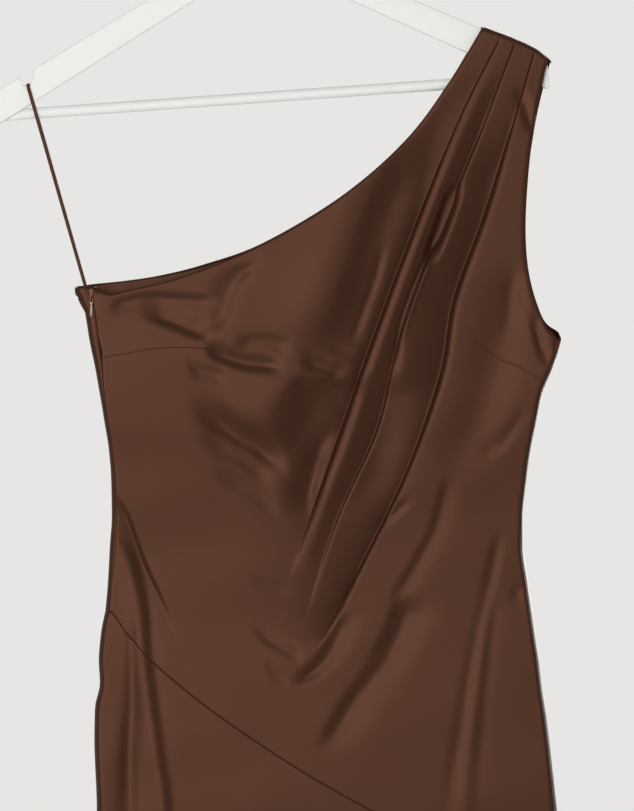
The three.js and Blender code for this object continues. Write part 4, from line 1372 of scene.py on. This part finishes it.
    def dart(self, name: str, line: Points, material: bpy.types.Material) -> bpy.types.Object:
        """The welt of a bust dart: a fine cord of cloth half sunk in the front, thinner at its point.

        Args:
            name: The piece's name.
            line: The dart's line in x and z, from the side seam.
            material: The welt's finish, a darker satin that paints the shade of the dart's crease.

        Returns:
            The dart's object.
        """
        places = along_line(smooth_line(line), np.linspace(0.0, 1.0, self.dart_rings))
        path = self.cloth.points(Face.FRONT, places[:, 0], places[:, 1])
        path[:, 1] -= self.dart_stand
        taper = smooth_step(np.linspace(3.0, 0.0, self.dart_rings))
        made = tube(name, path, self.dart_radius * (0.25 + 0.75 * taper), (0, 1, 0), 8)
        made.data.materials.append(material)
        return made

    def build(self, satin: bpy.types.Material, dart_shade: bpy.types.Material) -> Panel:
        """Builds the panels and the darts.

        Args:
            satin: The cloth's finish.
            dart_shade: The finish of the darts, a darker satin that paints the shade of their creases.

        Returns:
            The front bodice, on which the zip's tape lies.
        """
        cuts = (
            (self.front_bodice(), "front_bodice", (0.46, 0.72), 0.205, ["hanger_arms"]),
            (self.back_bodice(), "back_bodice", (0.40, 0.72), 0.18, ["hanger_arms"]),
            (self.front_skirt(), "front_skirt", (0.47, 0.80), 0.30, ["bodice_front"]),
            (self.back_skirt(), "back_skirt", (0.48, 0.80), 0.31, ["bodice_back"]),
        )
        for panel, node, flat, area, holders in cuts:
            panel.lay(self.cloth)
            made = panel.build(satin)
            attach(made, DRESS)
            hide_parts(node)
            rests = [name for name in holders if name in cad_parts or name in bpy.data.objects]
            log.info("%s: %d points, %.3f square metres", panel.name, panel.grid.size // 3, panel.area())
        for name, line in (("dart_left", self.left_dart), ("dart_right", self.right_dart)):
            made = self.dart(name, line, dart_shade)
            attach(made, DRESS)
            log.info("%s: sewn", name)
        return cuts[0][0]


@dataclass
class Zip:
    """The invisible zip in the left side seam: tape, coil, slider and pull tab, in millimetres."""

    slider_x: float = -130.2
    slider_z: float = -360.5
    slider_width: float = 4.8
    slider_height: float = 7.6
    slider_nose: float = 4.4
    slider_depth: float = 2.2
    bridge_bar: float = 0.8
    bridge_length: float = 3.0
    tab_length: float = 15.5
    tab_width: float = 2.9
    tab_neck: float = 1.7
    tab_thick: float = 1.0
    window_width: float = 1.2
    window_length: float = 2.4
    tab_bar: float = 1.0
    tab_edge: float = 0.42
    tape_columns: int = 8
    tape_depth: float = 1.6
    tape_thick: float = 0.7
    tape_top: float = -364.0
    tape_end: float = -585.0
    coil_pitch: float = 1.3
    coil_radius: float = 0.75
    coil_wire: float = 0.24
    coil_depth: float = 2.6

    def __post_init__(self) -> None:
        """Finds where the pull's crossbar turns."""
        low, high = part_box("zip_pull")
        self.pivot_y = (low[1] + high[1]) / 2 / MM

    def body_sides(self) -> tuple[Array, Array]:
        """The slider body's right and left sides from the front: a narrow foot and wide rounded shoulders."""
        half, foot, top = self.slider_width / 2, -self.slider_height / 2, self.slider_height / 2 + self.slider_nose
        right = np.vstack([
            quadratic((half * 0.4, foot), (half * 0.6, foot), (half * 0.62, foot + 1.2), 5),
            quadratic((half * 0.62, foot + 1.2), (half * 0.7, top - 5), (half, top - 2), 8),
            quadratic((half, top - 2), (half, top), (half * 0.45, top), 9),
            np.array([[half * 0.45, top]]),
        ])
        place = np.array([self.slider_x, self.slider_z])
        return right + place, right * np.array([-1.0, 1.0]) + place

    def slider(self, material: bpy.types.Material) -> bpy.types.Object:
        """The slider's body and its bridge, joined.

        Args:
            material: The metal.

        Returns:
            The slider's object.
        """
        low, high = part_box("zip_slider")
        back = high[1] / MM
        face = back - self.slider_depth
        body = rounded_board("zip_slider_body", *self.body_sides(), face, back, 0.45)
        reach = self.bridge_length / 2 + self.bridge_bar / 2
        lift = face - low[1] / MM - self.bridge_bar / 2
        turn = np.linspace(0.0, np.pi, 24)
        z = self.slider_z + reach * np.sign(np.cos(turn)) * np.abs(np.cos(turn)) ** 0.45
        y = face + 0.3 - (lift + 0.3) * np.sin(turn) ** 0.45
        path = np.stack([np.full_like(z, self.slider_x), y, z], axis=-1)
        bridge = tube("zip_slider_bridge", path, self.bridge_bar / 2, (1, 0, 0), 12)
        for piece in (body, bridge):
            piece.data.materials.append(material)
        bridge.parent = body
        return body

    def ring(self, outline: Array, inner: Array, y: float, name: str) -> bpy.types.Object:
        """A flat plate with a window: spokes run from the window's edge to the outline.

        Each spoke's section is a rectangle with rounded corners, followed round the plate.

        Args:
            outline: The outer edge in x and z, anticlockwise.
            inner: The window's edge, with as many points.
            y: The plate's middle plane.
            name: The piece's name.

        Returns:
            The plate's object.
        """
        spoke = outline - inner
        way = spoke / np.linalg.norm(spoke, axis=1, keepdims=True)
        edge, half = self.tab_edge, self.tab_thick / 2
        angle = np.linspace(0.0, np.pi / 2, 4)
        step, height = edge * (1 - np.cos(angle)), edge * (1 - np.sin(angle)) - half
        steps = np.concatenate([step, -step[::-1], -step, step[::-1]])[:, None, None]
        heights = np.concatenate([height, height[::-1], -height, -height[::-1]])[:, None]
        starts = np.repeat(np.stack([inner, outline, outline, inner]), len(angle), axis=0)
        places = starts + way[None] * steps
        lift = y + np.broadcast_to(heights, places.shape[:2])
        grid = np.stack([places[..., 0], lift, places[..., 1]], axis=-1)
        return surface(name, grid, wraps=(True, True))

    def tab_outline(self) -> Array:
        """The pull tab: an eye round the window, a narrow neck and a slim drop.

        Its half width is read from a few widths down its length, and it is the same on both sides.
        """
        half, neck = self.tab_width / 2, self.tab_neck / 2
        top, tip = self.tab_bar / 2, -self.tab_length
        downs = (top, top - 0.5, -1.6, -3.6, -5.2, -7.0, tip + 4.5, tip + 2.4, tip + 0.8, tip)
        wides = (0.55, 1.15, half, half * 0.9, neck, neck, half * 0.86, half * 0.95, half * 0.66, 0.0)
        widths = Knots(downs[::-1], wides[::-1])
        down = top + (tip - top) * (1 - np.cos(np.linspace(0.0, np.pi, 40))) / 2
        left = np.stack([-widths(down), down], axis=-1)
        right = (left * np.array([-1.0, 1.0]))[::-1]
        return np.vstack([[[0.0, top]], left, right[1:], [[0.0, top]]])

    def window_outline(self, outline: Array) -> Array:
        """The tab's window, a slot with rounded corners: one point towards each point of the outline.

        In each direction from its middle, its radius is that of a superellipse of the third power.

        Args:
            outline: The tab's outer edge.

        Returns:
            The window's edge, with as many points.
        """
        half, reach = self.window_width / 2, self.window_length / 2
        middle = np.array([0.0, -self.tab_bar / 2 - reach])
        way = outline - middle
        way /= np.linalg.norm(way, axis=1, keepdims=True)
        radius = ((np.abs(way[:, 0]) / half) ** 3 + (np.abs(way[:, 1]) / reach) ** 3) ** (-1 / 3)
        return middle + way * radius[:, None]

    def pull(self, material: bpy.types.Material) -> bpy.types.Object:
        """The pull tab, hanging from its crossbar under the bridge.

        Args:
            material: The metal.

        Returns:
            The tab's object.
        """
        share = np.linspace(0.0, 1.0, 96, endpoint=False)
        place = np.array([self.slider_x, self.slider_z])
        outline = along_line(self.tab_outline(), share)
        made = self.ring(outline + place, self.window_outline(outline) + place, self.pivot_y, "zip_pull_tab")
        made.data.materials.append(material)
        return made

    def taped_rows(self, front: Panel) -> Array:
        """Which rows of the front bodice have the zip's tape behind their left end."""
        edge = front.grid[:, 0]
        return (edge[:, 2] < self.tape_top) & (edge[:, 2] > self.tape_end) & (edge[:, 0] < 0)

    def tape(self, front: Panel, material: bpy.types.Material) -> bpy.types.Object:
        """The zip's tape, made from the front bodice's own first columns moved in.

        Args:
            front: The front bodice.
            material: The tape's finish.

        Returns:
            The tape's object.
        """
        rows, columns = self.taped_rows(front), slice(self.tape_columns)
        inward = front.outward(front.grid)[rows][:, columns]
        flat = front.flat[rows][:, columns]
        made = surface("zip_tape_cloth", front.grid[rows][:, columns] - inward * self.tape_depth, flat=flat)
        made.data.materials.append(material)
        thicken(made, self.tape_thick)
        return made

    def coil(self, front: Panel, material: bpy.types.Material) -> bpy.types.Object:
        """The zip's coil behind the closed seam: a helix round the seam's line.

        Args:
            front: The front bodice.
            material: The coil's finish.

        Returns:
            The coil's object.
        """
        rows = self.taped_rows(front)
        inward = front.outward(front.grid)[rows][:, 0]
        line = front.grid[rows][:, 0] - inward * self.coil_depth
        turns = int((self.tape_top - self.tape_end) / self.coil_pitch)
        share = np.linspace(0.0, 1.0, turns * 8)
        middle = along_line(line, share)
        turn = 2 * np.pi * turns * share
        middle[:, 0] += self.coil_radius * np.cos(turn)
        middle[:, 1] += self.coil_radius * 0.7 * np.sin(turn)
        made = tube("zip_coil", middle, self.coil_wire, (0, 0, 1), 5)
        made.data.materials.append(material)
        return made

    def build(
        self, front: Panel, tape: bpy.types.Material, metal: bpy.types.Material, painted: bpy.types.Material
    ) -> None:
        """Builds the zip's pieces and puts each on its body.

        Args:
            front: The front bodice.
            tape: The tape's finish.
            metal: The pull's finish.
            painted: The slider's finish.
        """
        slider = self.slider(painted)
        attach(slider, DRESS)
        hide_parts("zip_slider")
        tab = self.pull(metal)
        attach(tab, PULL_TAB)
        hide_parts("zip_pull")
        cloth = self.tape(front, tape)
        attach(cloth, DRESS)
        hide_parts("zip_tape")
        coil = self.coil(front, tape)
        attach(coil, DRESS)
        log.info("zip: slider, pull tab, tape and coil")


@dataclass
class Hanger:
    """The flat white hanger with its bar, hook and the dress's ribbon loop, in millimetres."""

    cloth: Cloth
    tilt: float = math.radians(4)
    arm_thick: float = 9.0
    arm_reach: float = 227.0
    apex_z: float = -74.7
    slope: float = math.tan(math.radians(27.7))
    height_middle: float = 21.0
    height_end: float = 27.0
    end_round: float = 6.0
    crown_half: float = 16.0
    crown_dip: float = 3.0
    notch_x: float = 195.0
    notch_width: float = 10.5
    notch_depth: float = 10.5
    board_edge: float = 1.3
    bar_z: float = -196.9
    bar_radius: float = 4.5
    bar_end_gap: float = 0.65
    hook_radius: float = 20.0
    wire_radius: float = 1.75
    hook_bend: float = 18.0
    hook_turn: tuple[float, float] = (-50.0, 205.0)
    seam_gap: float = 0.3
    loop_width: float = 2.8
    loop_thick: float = 1.0
    loop_clear: float = 0.55
    notch_clear: float = 1.0
    loop_turns: float = 0.012
    loop_leaves: float = 0.24
    loop_end: tuple[float, float] = (-133.0, -358.0)
    loop_seat: float = 0.7
    ribbon_wall: float = 0.6
    ribbon_crown: float = 0.12
    ribbon_step: float = 1.2
    tip_rings: int = 6

    def height_at(self, x: Number) -> Number:
        """The arm's height at a place along it."""
        return self.height_middle + (self.height_end - self.height_middle) * x / self.arm_reach

    def top_z(self, x: Number) -> Number:
        """The arm's upper edge."""
        return self.apex_z - self.slope * x + self.height_at(x) / 2

    def foot_z(self, x: Number) -> Number:
        """The arm's lower edge."""
        return self.apex_z - self.slope * x - self.height_at(x) / 2

    def arm_top(self) -> Array:
        """One arm's upper edge: out over the notch and round the end."""
        inner, outer = self.notch_x - self.notch_width / 2, self.notch_x + self.notch_width / 2
        pull = self.top_z(self.notch_x) - self.notch_depth / 0.75
        reach, end, crown = self.arm_reach, self.arm_reach - 2 * self.end_round, self.crown_half
        middle = (0.0, self.top_z(0) - self.crown_dip)
        shoulder = (reach, self.top_z(reach) - 1.6 * self.end_round)
        run_in = np.linspace(crown, inner, 24, endpoint=False)
        run_out = np.linspace(outer, end, 4, endpoint=False)
        return np.vstack([
            quadratic(middle, (crown / 2, self.top_z(crown / 2)), (crown, self.top_z(crown)), 10),
            np.stack([run_in, self.top_z(run_in)], axis=-1),
            cubic((inner, self.top_z(inner)), (inner, pull), (outer, pull), (outer, self.top_z(outer)), 11),
            np.stack([run_out, self.top_z(run_out)], axis=-1),
            quadratic((end, self.top_z(end)), (reach, self.top_z(reach)), shoulder, 12),
            np.array([shoulder]),
        ])

    def arm_foot(self, x: Array) -> Array:
        """One arm's lower edge at the given places: a dip in the middle and a small round at the end."""
        crown, corner = self.crown_half, self.end_round / 2
        t = np.clip(1 - x / crown, 0.0, 1.0)
        dip = self.foot_z(crown) * (1 - t) ** 2 + 2 * t * (1 - t) * self.foot_z(crown / 2)
        dip += t * t * (self.foot_z(0) - self.crown_dip)
        beyond = np.clip((x - self.arm_reach + corner) / corner, 0.0, 1.0)
        round_up = corner * (1 - np.sqrt(1 - beyond**2))
        return np.stack([x, np.where(x < crown, dip, self.foot_z(x)) + round_up], axis=-1)

    def leaned(self, points: Array) -> Array:
        """Turns points on the level hanger by its tilt, about the rail."""
        x, z = points[..., 0], points[..., 2]
        turn = -self.tilt
        return np.stack([
            x * math.cos(turn) + z * math.sin(turn),
            points[..., 1],
            -x * math.sin(turn) + z * math.cos(turn),
        ], axis=-1)

    def lean(self, piece: bpy.types.Object) -> bpy.types.Object:
        """Turns a finished mesh by the hanger's tilt."""
        mesh = piece.data
        places = np.zeros(len(mesh.vertices) * 3)
        mesh.vertices.foreach_get("co", places)
        mesh.vertices.foreach_set("co", self.leaned(places.reshape(-1, 3)).ravel())
        mesh.update()
        return piece

    def arms(self) -> bpy.types.Object:
        """Both arms, one board with rounded edges."""
        top = self.arm_top()
        foot = self.arm_foot(top[:, 0])
        mirror = np.array([-1.0, 1.0])
        tops = np.vstack([(top * mirror)[:0:-1], top])
        feet = np.vstack([(foot * mirror)[:0:-1], foot])
        board = rounded_board("hanger_board", feet, tops, -self.arm_thick / 2, self.arm_thick / 2, self.board_edge)
        return self.lean(board)

    def bar(self) -> bpy.types.Object:
        """The round bar, whose ends are cut to the slope of the arms' feet."""
        slope = (self.foot_z(0) - self.foot_z(self.arm_reach)) / self.arm_reach
        turn = np.linspace(0.0, 2 * np.pi, 40, endpoint=False)
        y, z = self.bar_radius * np.cos(turn), self.bar_z + self.bar_radius * np.sin(turn)
        reach = (self.foot_z(0) - z) / slope - self.bar_end_gap
        share = np.linspace(-1.0, 1.0, 60)[:, None]
        grid = np.stack([share * reach, np.broadcast_to(y, (60, 40)), np.broadcast_to(z, (60, 40))], axis=-1)
        return self.lean(surface("hanger_rod", grid, wraps=(False, True), caps=True, flip=True))

    def hook(self) -> bpy.types.Object:
        """The hook: a straight stem, then round over the crown to an open, rounded end."""
        centre = self.wire_radius - self.hook_radius
        turn = np.radians(np.arange(self.hook_turn[0], self.hook_turn[1] + 1, 15.0))
        stem = [(0.0, self.top_z(0) - self.crown_dip + self.seam_gap), (0.0, centre - 2 * self.hook_bend)]
        crown = np.stack([self.hook_radius * np.cos(turn), centre + self.hook_radius * np.sin(turn)], axis=-1)
        flat = along_line(smooth_line(np.vstack([stem, crown]), 16), np.linspace(0.0, 1.0, 120))
        path = np.stack([flat[:, 0], np.zeros(len(flat)), flat[:, 1]], axis=-1)
        path, sizes = round_ends(path, self.wire_radius, self.tip_rings)
        # The stem ends flat, just over the board, so only the open end keeps its rounded tip
        keep = slice(self.tip_rings, None)
        return self.lean(tube("hanger_wire", path[keep], sizes[keep], (0, 1, 0), 20))

    def loop(self) -> tuple[Array, Array]:
        """The ribbon's middle line and its width direction.

        Returns:
            The places of the line in millimetres, and half the ribbon's width as a vector.
        """
        end_x, end_z = self.loop_end
        edge = self.cloth.points(Face.FRONT, np.array([end_x - self.loop_width]), np.array([end_z]))
        seat = edge[0, 1] + self.loop_seat + self.seam_gap + self.loop_thick / 2
        face = self.arm_thick / 2 + self.loop_clear + self.loop_thick / 2
        bend = self.arm_thick / 2 + self.loop_clear
        notch = self.leaned(np.array([[-self.notch_x, 0.0, self.top_z(self.notch_x) - self.notch_depth]]))[0]
        front_end = np.array([end_x, seat, end_z])
        back_end = front_end + np.array([0.0, self.loop_thick + self.seam_gap, 0.0])
        def on_face(share: float, y: float) -> Array:
            """A place on the arm's face, on the way from the notch to the sewn end."""
            place = notch * (1 - share) + front_end * share
            return np.array([place[0], y, place[2]])
        over = notch + np.array([0.0, 0.0, self.notch_clear + self.loop_thick / 2])
        front_leave, back_leave = on_face(self.loop_leaves, -face), on_face(self.loop_leaves, face)
        path = [
            *(front_end * (1 - share) + front_leave * share for share in (0.0, 0.4, 0.8)),
            front_leave,
            on_face(self.loop_turns, -face),
            over + np.array([0.0, -bend, 0.0]),
            over,
            over + np.array([0.0, bend, 0.0]),
            on_face(self.loop_turns, face),
            back_leave,
            *(back_leave * (1 - share) + back_end * share for share in (0.2, 0.6, 1.0)),
        ]
        ahead = front_end - notch
        ahead[1] = 0.0
        ahead /= np.linalg.norm(ahead)
        return np.array(path), np.array([-ahead[2], 0.0, ahead[0]]) * self.loop_width / 2

    def ribbon(self, material: bpy.types.Material) -> bpy.types.Object:
        """The hanger loop as one thin ribbon over the notch.

        Args:
            material: The ribbon's finish.

        Returns:
            The ribbon's object.
        """
        path, half = self.loop()
        lengths = np.linalg.norm(np.diff(path, axis=0), axis=1)
        counts = [max(2, int(length / self.ribbon_step)) for length in lengths]
        rows = np.concatenate([
            start + (end - start) * np.linspace(0.0, 1.0, count, endpoint=False)[:, None]
            for start, end, count in zip(path, path[1:], counts)
        ])
        rows = np.vstack([rows, path[-1:]])
        share = np.linspace(-1.0, 1.0, 7)[None, :, None]
        crown = self.ribbon_crown * (1 - share**2) * np.array([0.0, 1.0, 0.0])
        grid = rows[:, None] + share * half - crown * np.sign(rows[:, None, 1:2])
        gone = np.concatenate([[0.0], np.cumsum(np.linalg.norm(np.diff(rows, axis=0), axis=1))])
        flat = np.stack(np.broadcast_arrays(share[..., 0] * self.loop_width / 2, gone[:, None]), axis=-1)
        made = surface("ribbon_loop", grid, flat=flat, flip=True)
        thicken(made, self.ribbon_wall)
        made.data.materials.append(material)
        return made

    def build(self, paint: bpy.types.Material, steel: bpy.types.Material, ribbon: bpy.types.Material) -> None:
        """Builds the hanger and the ribbon loop, all on the dress's body.

        Args:
            paint: The finish of the arms and the bar.
            steel: The hook's finish.
            ribbon: The loop's finish.
        """
        pieces = (
            (self.arms(), paint, "hanger_paint", "hanger_arms"),
            (self.bar(), paint, "hanger_paint", "hanger_bar"),
            (self.hook(), steel, "hook_metal", "hanger_hook"),
            (self.ribbon(ribbon), None, "ribbon", "hanger_loop"),
        )
        for piece, material, slot, node in pieces:
            if material is not None:
                piece.data.materials.append(material)
            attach(piece, DRESS)
            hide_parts(node)
            log.info("%s: made", piece.name)


@dataclass
class Studio:
    """The floor, the light and the camera, in metres."""

    view_width: float = 0.6569
    focal: float = 300.0
    sensor: float = 36.0
    middle: tuple[float, float] = (0.0522, -0.447)
    dress_plane: float = -0.012
    floor_z: float = -1.76
    floor_half: float = 2.6
    backdrop: Colour = (0.799, 0.791, 0.776)
    ambient: float = 0.33
    lamp_target: tuple[float, float, float] = (0.05, 0.0, -0.5)
    lamps: tuple = (
        ("key", (-0.8, -3.2, 0.0), (2.0, 2.0), 65.0),
        ("left_side", (-3.3, -1.0, -0.3), (1.2, 2.2), 6.0),
        ("right_side", (3.4, -0.7, -0.4), (1.2, 2.2), 9.0),
        ("rear", (1.0, 3.4, 0.3), (2.0, 2.0), 100.0),
    )

    def floor(self, material: bpy.types.Material) -> None:
        """A flat pale floor under the dress."""
        reach = np.linspace(-self.floor_half, self.floor_half, 9) / MM
        x, y = np.meshgrid(reach, reach)
        made = surface("floor", np.stack([x, y, np.full_like(x, self.floor_z / MM)], axis=-1), flip=True)
        made.data.materials.append(material)

    def sky(self) -> None:
        """The plain backdrop for the camera, and a dimmer soft light all round."""
        world = bpy.data.worlds.new("studio")
        bpy.context.scene.world = world
        world.use_nodes = True
        tree = world.node_tree
        tree.nodes.clear()
        seen = tree.nodes.new("ShaderNodeBackground")
        seen.inputs["Color"].default_value = opaque(self.backdrop)
        seen.inputs["Strength"].default_value = 1.0
        light = tree.nodes.new("ShaderNodeBackground")
        light.inputs["Color"].default_value = (1.0, 0.99, 0.975, 1.0)
        light.inputs["Strength"].default_value = self.ambient
        path = tree.nodes.new("ShaderNodeLightPath")
        mix = tree.nodes.new("ShaderNodeMixShader")
        end = tree.nodes.new("ShaderNodeOutputWorld")
        tree.links.new(path.outputs["Is Camera Ray"], mix.inputs["Fac"])
        tree.links.new(light.outputs["Background"], mix.inputs[1])
        tree.links.new(seen.outputs["Background"], mix.inputs[2])
        tree.links.new(mix.outputs["Shader"], end.inputs["Surface"])

    def lamp(self, name: str, place: tuple, target: tuple, size: tuple[float, float], power: float) -> None:
        """One soft rectangular lamp that faces its target."""
        data = bpy.data.lights.new(name, "AREA")
        data.shape = "RECTANGLE"
        data.size, data.size_y = size
        data.energy = power
        lamp = bpy.data.objects.new(name, data)
        lamp.visible_camera = False
        lamp.location = place
        lamp.rotation_euler = (Vector(target) - Vector(place)).to_track_quat("-Z", "Y").to_euler()
        bpy.context.scene.collection.objects.link(lamp)

    def camera(self) -> None:
        """A long lens, straight on, whose frame at the dress is the photograph's."""
        data = bpy.data.cameras.new("camera")
        data.lens = self.focal
        data.sensor_width = self.sensor
        data.clip_end = 60.0
        made = bpy.data.objects.new("camera", data)
        far = self.view_width * self.focal / self.sensor
        made.location = (self.middle[0], self.dress_plane - far, self.middle[1])
        made.rotation_euler = (math.pi / 2, 0.0, 0.0)
        bpy.context.scene.collection.objects.link(made)
        bpy.context.scene.camera = made

    def build(self, floor: bpy.types.Material) -> None:
        """Sets up the studio.

        Args:
            floor: The floor's finish.
        """
        bpy.context.scene.view_settings.view_transform = "Standard"
        self.floor(floor)
        self.sky()
        self.camera()
        for name, place, size, power in self.lamps:
            self.lamp(name, place, self.lamp_target, size, power)
        log.info("studio: floor, lamps and camera")


def write_sizes() -> None:
    """Updates the view layer.
    """
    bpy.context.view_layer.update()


def main() -> None:
    """Builds the dress, its zip, the hanger and the studio, in that order."""
    logging.basicConfig(level=logging.INFO, format="%(name)s: %(message)s")
    cloth = Cloth()
    satin = Satin().make()
    # The darts get a darker satin than the cloth: painted shade along each dart's crease.
    front = Dress(cloth).build(satin, Satin("dart_painted_shade", (0.05, 0.02, 0.013), (0.04, 0.016, 0.011)).make())
    metal = Metal("zip_metal", (0.2, 0.145, 0.115), 0.36).make()
    Zip().build(front, Tape().make(), metal, Metal("zip_paint", (0.075, 0.04, 0.028), 0.4).make())
    steel = Metal("hook_steel", (0.62, 0.63, 0.64), 0.22, 500.0).make()
    Hanger(cloth).build(Paint().make(), steel, Ribbon().make())
    Studio().build(Plaster().make())
    write_sizes()


if __name__ == "__main__":
    main()
